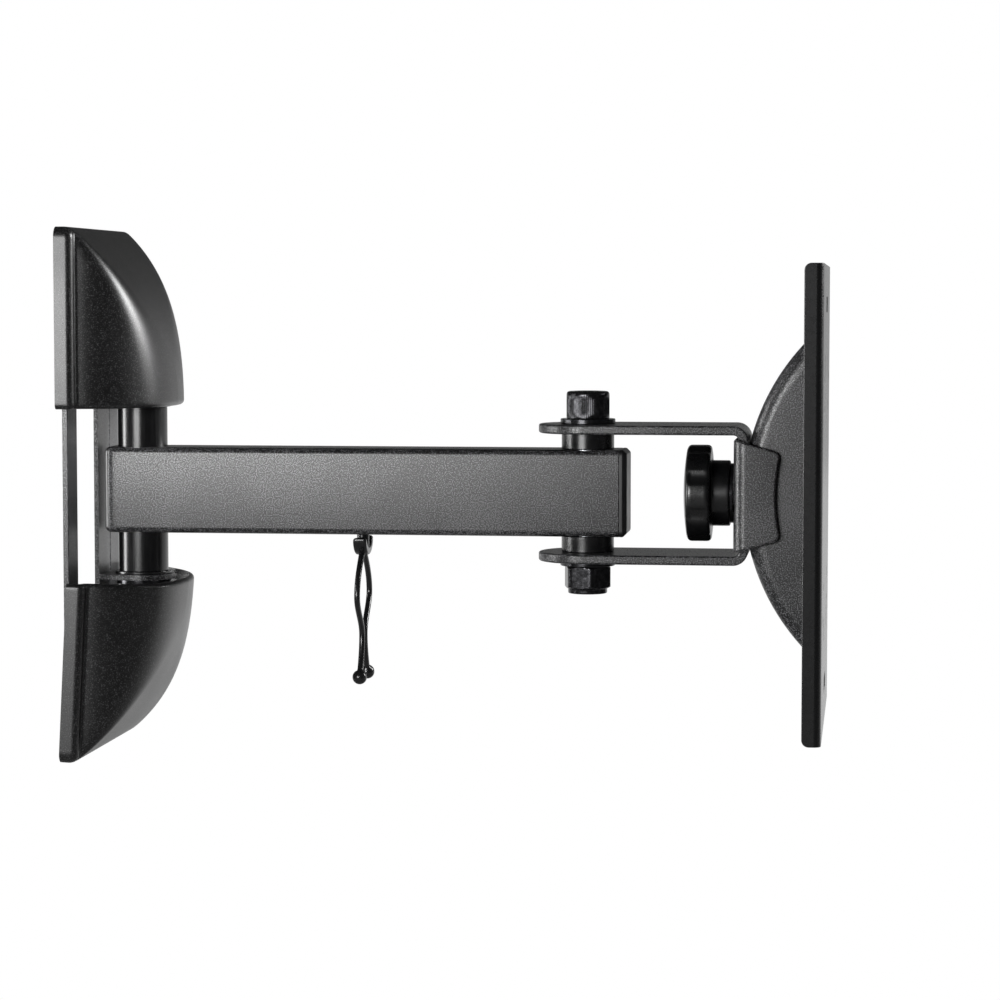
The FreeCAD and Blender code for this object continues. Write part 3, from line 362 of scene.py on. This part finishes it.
def roundedOutline(corners, closed, spacing=0.8, steps=5):
    # straight runs between corners (radius, along, rounding), each corner eased by a quadratic
    # curve: (1-t)^2 A + 2t(1-t) P + t^2 B, with A and B a rounding's length from the corner P
    spots = np.array([corner[:2] for corner in corners], float)
    before, after = np.roll(spots, 1, axis=0), np.roll(spots, -1, axis=0)
    t = np.linspace(0, 1, steps)[:, None]
    line = []
    for index, (radius, along, rounding) in enumerate(corners):
        atEnd = not closed and index in (0, len(corners) - 1)
        if rounding == 0 or atEnd:
            line.append(spots[index][None])
            continue
        towards = [(side[index] - spots[index]) for side in (before, after)]
        a, b = (spots[index] + step / np.linalg.norm(step) * rounding for step in towards)
        line.append((1 - t) ** 2 * a + 2 * t * (1 - t) * spots[index] + t ** 2 * b)
    line = np.concatenate(line)
    if closed:
        line = np.concatenate([line, line[:1]])
    length = np.concatenate([[0], np.cumsum(np.linalg.norm(np.diff(line, axis=0), axis=1))])
    extra = [np.linspace(a, b, int((b - a) / spacing) + 2)[1:-1] for a, b in zip(length[:-1], length[1:])]
    every = np.unique(np.concatenate([length, *extra]))
    every = every[np.concatenate([[True], np.diff(every) > 1e-6])]
    outline = np.stack([np.interp(every, length, line[:, k]) for k in (0, 1)], axis=-1)
    return outline[:-1] if closed else outline


def turnedGrid(outline, centre, axis="Z", around=96, radiusAt=None):
    # point = centre + along on the axis + r(radius, along, angle) x (cos angle, sin angle); all in mm
    angle = np.linspace(0, 2 * math.pi, around, endpoint=False)[None, :]
    radius, along = outline[:, :1], outline[:, 1:]
    reach = radiusAt(radius, along, angle) if radiusAt else radius + 0 * angle
    across, up, forward = reach * np.cos(angle), reach * np.sin(angle), along + 0 * angle
    order = (across, up, forward) if axis == "Z" else (forward, across, up)
    return (np.stack(order, axis=-1) + np.array(centre)) * mm


def sixSided(angle, halfWidth, turn=0.0):
    # distance from the axis to a hexagon's side: halfWidth / cos(angle to the nearest flat)
    fromFlat = (angle - math.radians(turn) + math.pi / 6) % (math.pi / 3) - math.pi / 6
    return halfWidth / np.cos(fromFlat)


def smoothMin(a, b, blend):
    # the lesser of a and b, less blend x h^2 / 4 where h = 1 - |a-b|/blend, so that they meet smoothly
    near = np.maximum(blend - np.abs(a - b), 0) / blend
    return np.minimum(a, b) - blend * near ** 2 / 4


def smoothMax(a, b, blend):
    return -smoothMin(-a, -b, blend)


# ---- pivot hardware

frontBolt = {
    "headRadius": 9.4,
    "headHeight": 12.0,
    "headEdge": 1.6,
    "shankRadius": 6.0,
    "endChamfer": 1.0,
    "socketHalfWidth": 5.0,
    "socketDepth": 6.0,
    "knurls": 72,
    "knurlDepth": 0.16,
}


def makeFrontBolt(spec):
    # turned bolt: knurled head with a rounded top edge and a six-sided socket, plain shank
    low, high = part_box("front_bolt")
    centre = ((low.x + high.x) / 2 / mm, 0, 0)
    bottom, top = low.z / mm, high.z / mm
    seat, floor = top - spec["headHeight"], top - spec["socketDepth"]
    mouth = spec["socketHalfWidth"] / math.cos(math.pi / 6)
    outline = roundedOutline([
        (0.2, bottom, 0), (spec["shankRadius"] - spec["endChamfer"], bottom, 0.2),
        (spec["shankRadius"], bottom + spec["endChamfer"], 0.3), (spec["shankRadius"], seat, 0.2),
        (spec["headRadius"], seat, 0.4), (spec["headRadius"], top, spec["headEdge"]),
        (mouth + 0.5, top, 0.2), (mouth, top - 0.5, 0.2), (mouth, floor, 0.2), (0.2, floor, 0),
    ], closed=False)

    def radiusAt(radius, along, angle):
        # knurls: radius - depth (1 - cos(n angle)) / 2, fading out near the head's two ends
        onHead = (radius > spec["headRadius"] - 0.05) & (along > seat + 0.5)
        fade = np.clip((along - seat - 0.8) / 0.8, 0, 1) * np.clip((top - 2.0 - along) / 0.8, 0, 1)
        knurl = spec["knurlDepth"] * (1 - np.cos(spec["knurls"] * angle)) / 2
        inSocket = (radius <= mouth + 0.01) & (along >= floor - 0.01)
        hexagon = np.minimum(radius, sixSided(angle, spec["socketHalfWidth"]) * radius / mouth)
        return np.where(inSocket, hexagon, radius - onHead * fade * knurl)

    grid = turnedGrid(outline, centre, around=spec["knurls"] * 5, radiusAt=radiusAt)
    return finishPiece(meshOfGrids("front_bolt_detailed", [(grid, False)]), "front_bolt")


lockNut = {
    "halfWidth": 9.5,
    "height": 10.0,
    "pointRadius": 10.55,  # where the turned ends cut the six points
    "endSlope": 1.75,  # mm of radius gained for each mm in from the end
    "endRadius": 9.0,
    "pointRound": 0.45,
    "collarRadius": 8.6,
    "collarHeight": 2.2,
    "boreRadius": 6.05,
    "ringRecess": 1.2,
    "turn": 15.0,  # degrees
}


def makeLockNut(node, spec):
    # hexagon cut by a cone at each end, so its faces show curved tops, over a rolled collar
    low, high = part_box(node)
    centre = ((low.x + high.x) / 2 / mm, 0, 0)
    bottom, top = low.z / mm, high.z / mm
    flat = bottom + spec["collarHeight"]
    outline = roundedOutline([
        (spec["boreRadius"], flat + 1, 0.1), (spec["collarRadius"] - spec["ringRecess"], flat + 1, 0.1),
        (spec["collarRadius"] - spec["ringRecess"], bottom, 0.35), (spec["collarRadius"], bottom, 0.6),
        (spec["collarRadius"], flat, 0.5), (spec["pointRadius"] + 0.4, flat, 0.05),
        (spec["pointRadius"] + 0.4, top, 0.05), (spec["boreRadius"] + 0.6, top, 0.1),
        (spec["boreRadius"], top - 0.6, 0.1),
    ], closed=True, spacing=0.35)

    def radiusAt(radius, along, angle):
        # least of the radius, the hexagon and the two cones
        hexagon = smoothMin(
            sixSided(angle, spec["halfWidth"], spec["turn"]), spec["pointRadius"], spec["pointRound"])
        cones = spec["endRadius"] + spec["endSlope"] * np.minimum(top - along, along - flat)
        onHexagon = (along >= flat - 0.001) & (radius > spec["collarRadius"] + 0.01)
        return np.where(onHexagon, np.minimum(np.minimum(radius, hexagon), np.maximum(cones, 8.6)), radius)

    grid = turnedGrid(outline, centre, around=180, radiusAt=radiusAt)
    return finishPiece(meshOfGrids(node + "_detailed", [(grid, True)], 25), node)


turnedRings = {  # node: rounding of its edges in mm
    "front_washers": 0.35,
    "rear_pivot_washers": 0.35,
    "clamp_washer": 0.30,
    "front_sleeve": 0.30,
    "rear_sleeve": 0.30,
    "rear_upper_bush": 0.25,
    "rear_lower_bush": 0.25,
    "front_upper_bush": 0.35,
    "front_lower_bush": 0.35,
}


# ---- knob

knobShape = {
    "radius": 21.0,
    "edge": 2.0,
    "dome": 1.8,  # how far the wall-side face swells
    "grips": 8,
    "gripRadius": 6.5,
    "gripDepth": 1.1,
    "hubRadius": 14.3,
    "hubFillet": 1.0,
    "seatRadius": 6.5,
    "boreRadius": 4.26,
    "discThickness": 12.1,
    "boreStop": 4.0,  # solid left behind the bore
    "seatDepth": 13.3,
}


def makeKnob(spec):
    # turned disc and hub with eight shallow finger scallops cut in the rim
    low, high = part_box("knob")
    back, front = low.x / mm, high.x / mm
    face = back + spec["discThickness"]
    shoulder = back + spec["dome"]
    seat, stop = front - spec["seatDepth"], back + spec["boreStop"]
    swell = np.linspace(0.4, spec["radius"] - spec["edge"], 22)
    dome = np.stack([swell, back + spec["dome"] * (swell / spec["radius"]) ** 2], axis=-1)
    rest = roundedOutline([
        (spec["radius"] - spec["edge"] + 0.2, shoulder - 0.3, 0), (spec["radius"], shoulder + 0.4, 1.4),
        (spec["radius"], face, spec["edge"]), (spec["hubRadius"], face, spec["hubFillet"]),
        (spec["hubRadius"], front, 0.8), (spec["seatRadius"], front, 0.3),
        (spec["seatRadius"], seat, 0.2), (spec["boreRadius"], seat, 0.2),
        (spec["boreRadius"], stop, 0.2), (0.4, stop, 0),
    ], closed=False)
    outline = np.concatenate([dome, rest])

    def radiusAt(radius, along, angle):
        # rim = smooth least of the disc and the near side of each scallop circle, eased in from the hub
        pitch = 2 * math.pi / spec["grips"]
        offset = angle % pitch - pitch / 2
        reach = spec["radius"] + spec["gripRadius"] - spec["gripDepth"]
        inside = np.maximum(spec["gripRadius"] ** 2 - (reach * np.sin(offset)) ** 2, 0)
        scallop = np.where(inside > 0, reach * np.cos(offset) - np.sqrt(inside), spec["radius"] + 5)
        rim = smoothMin(scallop, spec["radius"], 0.5)
        share = np.clip((radius / spec["radius"] - 0.8) / 0.2, 0, 1) ** 2
        share = share * np.clip((along - shoulder) / 1.8, 0, 1) * (along < face + 0.01)
        return radius * (1 - share * (1 - rim / spec["radius"]))

    grid = turnedGrid(outline, (0, 0, 0), axis="X", around=256, radiusAt=radiusAt)
    return finishPiece(meshOfGrids("knob_detailed", [(grid, False)], 30), "knob")


# ---- cable clip

cableClip = {
    "prongRadius": 1.3,
    "ballRadius": 3.2,
    "root": (1.6, -26.5),  # across, height
    "bow": (16.0, -46.0),
    "neck": (3.4, -64.0),
    "tip": (10.0, -82.0),
    "stemRadius": 2.7,
    "stemLow": -26.0,
    "barbRadius": 3.6,
    "barbLow": -17.4,
    "stemTop": -13.5,
    "saddleHalfWidth": 8.6,
    "saddleTop": -20.4,
    "saddleDrop": 6.4,
    "saddleHalfDepth": 3.0,
    "saddleThickness": (1.0, 1.9),  # half of it, at the wing tips and in the middle
}


def tubeAlong(path, wide, thick, around=24, power=2.0):
    # ring = path + section; the section is a squircle (|cos|^p + |sin|^p)^(-1/p), wide along X and
    # thick across the path
    step = np.gradient(path, axis=0)
    step /= np.linalg.norm(step, axis=1, keepdims=True)
    side = np.broadcast_to(np.array([1.0, 0, 0]), path.shape)
    other = np.cross(step, side)
    other /= np.linalg.norm(other, axis=1, keepdims=True)
    angle = np.linspace(0, 2 * math.pi, around, endpoint=False)
    cosine, sine = np.cos(angle), np.sin(angle)
    reach = (np.abs(cosine) ** power + np.abs(sine) ** power) ** (-1 / power)
    across = (wide[:, None] * reach * cosine)[..., None] * side[:, None]
    return path[:, None] + across + (thick[:, None] * reach * sine)[..., None] * other[:, None]


def makeCableClip(spec):
    # pressed-in stem, a saddle that curls up into two wings, and two bowed prongs that end in balls
    low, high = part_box("cable_clip")
    x = (low.x + high.x) / 2 / mm

    def prong(side):
        # across the clip: a quarter sine to the bow, half a cosine to the neck, a quarter to the ball
        height = np.linspace(spec["root"][1], spec["tip"][1], 90)
        share = [np.clip((height - a[1]) / (b[1] - a[1]), 0, 1) for a, b in (
            (spec["root"], spec["bow"]), (spec["bow"], spec["neck"]), (spec["neck"], spec["tip"]))]
        across = (
            spec["root"][0] + (spec["bow"][0] - spec["root"][0]) * np.sin(share[0] * math.pi / 2)
            + (spec["neck"][0] - spec["bow"][0]) * (1 - np.cos(share[1] * math.pi)) / 2
            + (spec["tip"][0] - spec["neck"][0]) * (1 - np.cos(share[2] * math.pi / 2)))
        path = np.stack([np.full_like(height, x), side * across, height], axis=-1)
        heading = path[-1] - path[-2]
        heading /= np.linalg.norm(heading)
        beyond = np.linspace(0.15, spec["ballRadius"] - 0.02, 12)[:, None]
        tip = path[-1]
        isBall = np.arange(len(path) + len(beyond)) >= len(path)
        path = np.concatenate([path, tip + beyond * heading])
        fromTip = np.linalg.norm(path - tip, axis=1)
        ball = np.sqrt(np.maximum(spec["ballRadius"] ** 2 - fromTip ** 2, 0))
        radius = np.where(isBall, ball, smoothMax(ball, spec["prongRadius"], 0.6))
        return tubeAlong(path, radius, radius)

    # half an ellipse from wing tip to wing tip, thicker in the middle, with eased ends
    turn = np.linspace(0, math.pi, 60)
    path = np.stack([np.full_like(turn, x), spec["saddleHalfWidth"] * np.cos(turn),
                     spec["saddleTop"] - spec["saddleDrop"] * np.sin(turn)], axis=-1)
    ease = (1 - np.abs(np.linspace(-1, 1, 60) * 0.999) ** 24) ** 0.5
    thin, full = spec["saddleThickness"]
    saddle = tubeAlong(path, spec["saddleHalfDepth"] * ease, (thin + (full - thin) * np.sin(turn)) * ease,
                       around=40, power=6.0)
    stem = turnedGrid(roundedOutline([
        (0.2, spec["stemLow"], 0), (spec["stemRadius"], spec["stemLow"], 0.2),
        (spec["stemRadius"], spec["barbLow"], 0.1), (spec["barbRadius"], spec["barbLow"], 0.3),
        (spec["stemRadius"] - 0.5, spec["stemTop"], 0.4), (0.2, spec["stemTop"], 0),
    ], closed=False), (x, 0, 0), around=40)
    grids = [(stem, False), (saddle * mm, False), (prong(1) * mm, False), (prong(-1) * mm, False)]
    return finishPiece(meshOfGrids("cable_clip_detailed", grids, 50), "cable_clip")


# ---- cover shells

coverShell = {
    "halfWidth": 54.0,
    "flange": 8.0,
    "rim": 37.0,
    "height": 115.3,
    "front": 41.6,
    "archRadius": 103.5,
    "rootHalfWidth": 49.5,
    "rootSlant": 8.0,  # degrees that a side slants where it leaves the flange
    "noseSlant": 68.0,  # and where it meets the front
    "wall": 1.9,
    "sideRoll": 3.2,  # roundings of the flange, down its sides and over its top
    "topRoll": 4.4,
    "corner": 4.6,
    "rimRoll": 2.0,  # how the open edge by the pivot turns in
    "ridgeBlend": 8.0,  # softness of the line between side and front
    "valleyBlend": 2.5,  # softness where the dome rises from the flange
    "lowerLean": 3.0,  # degrees
    "lowerShift": (0.1, 0.0, -0.8),
}


def coverPoints(spec):
    # height X over (Y, Z): smooth most of the flange and the dome, the dome being the smooth least of
    # two sides and an arch; a side's slant grows evenly with X, so X = acos(cos a0 exp(-k (root - |Y|))).
    # Past the outline the sheet rolls over an arc and drops to the wall, in steps: flat, arc, drop
    corner = spec["corner"]
    steps = np.concatenate([[0, 0.5], np.linspace(1, 2, 10)[:-1], np.linspace(2, 3, 4)])
    flatY, flatZ = spec["halfWidth"] - corner, spec["height"] - corner
    rise = spec["rootHalfWidth"] - np.linspace(0, 1, 40) ** 1.8 * 20
    inner = np.unique(np.round(np.concatenate([rise, -rise, np.linspace(-29.5, 29.5, 60)]), 4))
    inner = inner[np.abs(inner) < flatY - 0.05]
    a = np.concatenate([-(flatY + steps[::-1]), inner, flatY + steps])[:, None]
    turnIn = np.linspace(0, math.pi / 2, 7)[:-1]
    curl = spec["rimRoll"]
    b = np.concatenate([spec["rim"] + curl * (1 - np.cos(turnIn)),
                        np.linspace(spec["rim"] + curl, flatZ, 80)[:-1], flatZ + steps])[None, :]
    pastY, pastZ = np.abs(a) - flatY, b - flatZ
    reach = np.clip(np.maximum(pastY, pastZ), 0, 3)
    towardsY, towardsZ = np.maximum(pastY, 0) + 0 * b, np.maximum(pastZ, 0) + 0 * a
    size = np.maximum(np.hypot(towardsY, towardsZ), 1e-9)
    roll = spec["sideRoll"] + (spec["topRoll"] - spec["sideRoll"]) * (towardsZ / size) ** 2
    bend = np.clip(reach - 1, 0, 1) * math.pi / 2
    spread = np.clip(reach, 0, 1) * (corner - roll) + roll * np.sin(bend)
    fall = roll * (1 - np.cos(bend)) + np.clip(reach - 2, 0, 1) * (spec["flange"] - roll)
    y = np.sign(a) * (np.minimum(np.abs(a), flatY) + spread * towardsY / size)
    z = np.minimum(b, flatZ) + spread * towardsZ / size
    low, high = math.radians(spec["rootSlant"]), math.radians(spec["noseSlant"])
    rate = (high - low) / (spec["front"] - spec["flange"])
    cosine = np.clip(math.cos(low) * np.exp(-rate * (spec["rootHalfWidth"] - np.abs(y))), 0, 1)
    sides = spec["flange"] + (np.arccos(cosine) - low) / rate
    fromRim = np.minimum(z - spec["rim"], spec["archRadius"])
    arch = spec["front"] - spec["archRadius"] + np.sqrt(spec["archRadius"] ** 2 - fromRim ** 2)
    dome = smoothMin(sides, arch + 0 * y, spec["ridgeBlend"])
    x = np.maximum(smoothMax(dome, spec["flange"] + 0 * y, spec["valleyBlend"]) - fall, 0)
    points = np.stack([x, y, z], axis=-1)
    # the open edge curls inwards, across the outline of its own section
    across = np.gradient(points[:, len(turnIn)], axis=0)
    inward = np.stack([across[:, 1], -across[:, 0], 0 * across[:, 0]], axis=-1)
    inward /= -np.maximum(np.linalg.norm(inward, axis=1, keepdims=True), 1e-9)
    depth = curl * (1 - np.sin(turnIn))
    edge = points[:, len(turnIn)][:, None] + inward[:, None] * depth[None, :, None]
    edge[..., 2] = b[0, :len(turnIn)]
    edge[..., 0] = np.maximum(edge[..., 0], 0)
    points[:, :len(turnIn)] = edge
    return points


def makeCover(node, points, spec):
    # the surface becomes a shell by growing inwards, and its rims are eased
    mesh = bpy.data.meshes.new(node + "_shell")
    rows, columns = points.shape[:2]
    place = np.arange(rows * columns).reshape(rows, columns)
    quads = np.stack([place[:-1, :-1], place[1:, :-1], place[1:, 1:], place[:-1, 1:]], axis=-1)
    mesh.from_pydata((points.reshape(-1, 3) * mm).tolist(), [], quads.reshape(-1, 4).tolist())
    shape = bmesh.new()
    shape.from_mesh(mesh)
    bmesh.ops.remove_doubles(shape, verts=shape.verts, dist=1e-6)
    shape.to_mesh(mesh)
    shape.free()
    mesh.polygons.foreach_set("use_smooth", np.ones(len(mesh.polygons), bool))
    piece = bpy.data.objects.new(node + "_shell", mesh)
    bpy.context.scene.collection.objects.link(piece)
    shell = piece.modifiers.new("wall", "SOLIDIFY")
    shell.thickness = spec["wall"] * mm
    shell.offset = -1
    easing = piece.modifiers.new("rims", "BEVEL")
    easing.width = 0.5 * mm
    easing.segments = 3
    easing.limit_method = "ANGLE"
    easing.angle_limit = math.radians(60)
    easing.harden_normals = True
    return finishPiece(piece, node)


def lowerCoverPoints(points, spec):
    # the upper cover upside down: (x, -y, -z), then leaned about Y through its tip at the wall
    lean = math.radians(spec["lowerLean"])
    x, y, z = points[..., 0], -points[..., 1], -points[..., 2] + spec["height"]
    leaned = np.stack([x * math.cos(lean) + z * math.sin(lean), y,
                       -x * math.sin(lean) + z * math.cos(lean) - spec["height"]], axis=-1)
    return leaned + np.array(spec["lowerShift"])


# ---- sheet and tube parts, with the eased edges that coating gives them

easedEdges = {  # node: rounding in mm
    "wall_plate": 0.35,
    "pivot_bracket": 0.35,
    "yoke": 0.9,
    "tilt_dome": 0.45,
    "vesa_plate": 0.30,
    "arm_tube": 0.25,
    "rear_end_cap": 0.40,
    "front_end_cap": 0.40,
    "bracket_screws": 0.25,
    "bracket_nuts": 0.20,
    "rear_pivot_bolt": 0.40,
    "tilt_saddle": 0.30,
    "tilt_bolt": 0.30,
    "knob_insert": 0.15,
    "front_nut_insert": 0.10,
    **turnedRings,
}


clampedEdges = {"pivot_bracket"}  # its bends meet in short edges, where a full rounding would spike


def makeEased(node, rounding):
    # a merged copy of the node with flat areas joined up and its sharp edges rounded
    mesh = nodes[node].data.copy()
    mesh.name = node + "_eased"
    shape = bmesh.new()
    shape.from_mesh(mesh)
    bmesh.ops.remove_doubles(shape, verts=shape.verts, dist=2e-6)
    bmesh.ops.dissolve_limit(
        shape, angle_limit=math.radians(0.6), verts=shape.verts, edges=shape.edges)
    plain = bpy.data.meshes.new(node + "_eased")
    shape.to_mesh(plain)
    shape.free()
    bpy.data.meshes.remove(mesh)
    plain.polygons.foreach_set("use_smooth", np.ones(len(plain.polygons), bool))
    plain.set_sharp_from_angle(angle=math.radians(30))
    piece = bpy.data.objects.new(node + "_eased", plain)
    bpy.context.scene.collection.objects.link(piece)
    easing = piece.modifiers.new("edges", "BEVEL")
    easing.width = rounding * mm
    easing.use_clamp_overlap = node in clampedEdges
    easing.segments = 3
    easing.limit_method = "ANGLE"
    easing.angle_limit = math.radians(35)
    easing.harden_normals = True
    return finishPiece(piece, node)


# ---- making everything

makeCamera(cameraView)
makeLamps(studio["lamps"], cameraView["aimAt"])
print("camera and lamps placed")

makeFrontBolt(frontBolt)
for nut in ("front_nut", "rear_pivot_nut"):
    makeLockNut(nut, lockNut)
makeKnob(knobShape)
makeCableClip(cableClip)
print("bolt, nuts, knob and clip made")

upper = coverPoints(coverShell)
makeCover("upper_cover", upper, coverShell)
makeCover("lower_cover", lowerCoverPoints(upper, coverShell), coverShell)
print("cover shells made")

for node, rounding in easedEdges.items():
    makeEased(node, rounding)
print("sheet, tube and ring parts eased:", len(easedEdges))


# ---- floor and room

def makeFloor(drop, backdrop):
    # a level pale sheet well below the mount; it looks plain white and throws back a little light,
    # and it glows with painted light that grows towards the wall behind, standing in for a lit sheet swept up
    # there
    half = 6.0
    height = cadLow.z - drop
    mesh = bpy.data.meshes.new("floor")
    mesh.from_pydata(
        [(-half, -half, height), (half, -half, height), (half, half, height), (-half, half, height)],
        [], [(0, 1, 2, 3)])
    floor = bpy.data.objects.new("floor", mesh)
    bpy.context.scene.collection.objects.link(floor)
    material = bpy.data.materials.new("pale_paper")
    material.use_nodes = True
    tree = material.node_tree
    tree.nodes.clear()
    seen = addNode(tree, "ShaderNodeLightPath").outputs["Is Camera Ray"]
    fibres = addNode(tree, "ShaderNodeTexNoise", sockets={"Scale": 40.0, "Detail": 3.0}).outputs["Fac"]
    paper = addNode(tree, "ShaderNodeBsdfDiffuse", sockets={
        "Color": rampBetween(tree, fibres, [(0.3, "#7c7c7c"), (0.7, "#868686")])})
    spot = addNode(tree, "ShaderNodeTexCoord").outputs["Object"]
    parts = addNode(tree, "ShaderNodeSeparateXYZ", sockets={"Vector": spot})
    # painted light: the floor's own emission, stronger towards +Y, stands in for light thrown from a lit wall
    # behind
    paintedGlowStrength = addNode(tree, "ShaderNodeMapRange", sockets={
        "Value": parts.outputs["Y"], "From Min": 0.2, "From Max": 1.2, "To Min": 0.0, "To Max": backdrop * 1.6})
    glow = addNode(tree, "ShaderNodeEmission", sockets={
        "Color": (1, 1, 1, 1), "Strength": paintedGlowStrength.outputs["Result"]})
    sheet = addNode(tree, "ShaderNodeAddShader", sockets={
        0: paper.outputs["BSDF"], 1: glow.outputs["Emission"]})
    lit = addNode(tree, "ShaderNodeEmission", sockets={"Color": (1, 1, 1, 1), "Strength": 1.0})
    both = addNode(tree, "ShaderNodeMixShader", sockets={
        0: seen, 1: sheet.outputs["Shader"], 2: lit.outputs["Emission"]})
    output = addNode(tree, "ShaderNodeOutputMaterial")
    tree.links.new(both.outputs["Shader"], output.inputs["Surface"])
    mesh.materials.append(material)


def makeRoom(ambient, backdrop):
    # soft light from all round, a lit wall behind, and plain white wherever the room itself is seen
    world = bpy.data.worlds.new("studio")
    world.use_nodes = True
    tree = world.node_tree
    tree.nodes.clear()
    heading = addNode(tree, "ShaderNodeTexCoord").outputs["Generated"]
    parts = addNode(tree, "ShaderNodeSeparateXYZ", sockets={"Vector": heading})
    fade = addNode(tree, "ShaderNodeMapRange", {"interpolation_type": "SMOOTHSTEP"}, {
        "Value": parts.outputs["Z"], "From Min": 0.02, "From Max": 0.25,
        "To Min": backdrop, "To Max": ambient})
    wall = addNode(tree, "ShaderNodeMapRange", {"interpolation_type": "SMOOTHSTEP"}, {
        "Value": parts.outputs["Y"], "From Min": 0.45, "From Max": 0.95,
        "To Min": ambient, "To Max": fade.outputs["Result"]})
    seen = addNode(tree, "ShaderNodeLightPath").outputs["Is Camera Ray"]
    level = addNode(tree, "ShaderNodeMapRange", sockets={
        "Value": seen, "To Min": wall.outputs["Result"], "To Max": 1.0})
    room = addNode(tree, "ShaderNodeBackground", sockets={
        "Color": (1, 1, 1, 1), "Strength": level.outputs["Result"]})
    output = addNode(tree, "ShaderNodeOutputWorld")
    tree.links.new(room.outputs["Background"], output.inputs["Surface"])
    bpy.context.scene.world = world


makeFloor(studio["floorDrop"], studio["backdrop"])
makeRoom(studio["ambient"], studio["backdrop"])
bpy.context.scene.view_settings.view_transform = "Standard"
print("floor and room made")
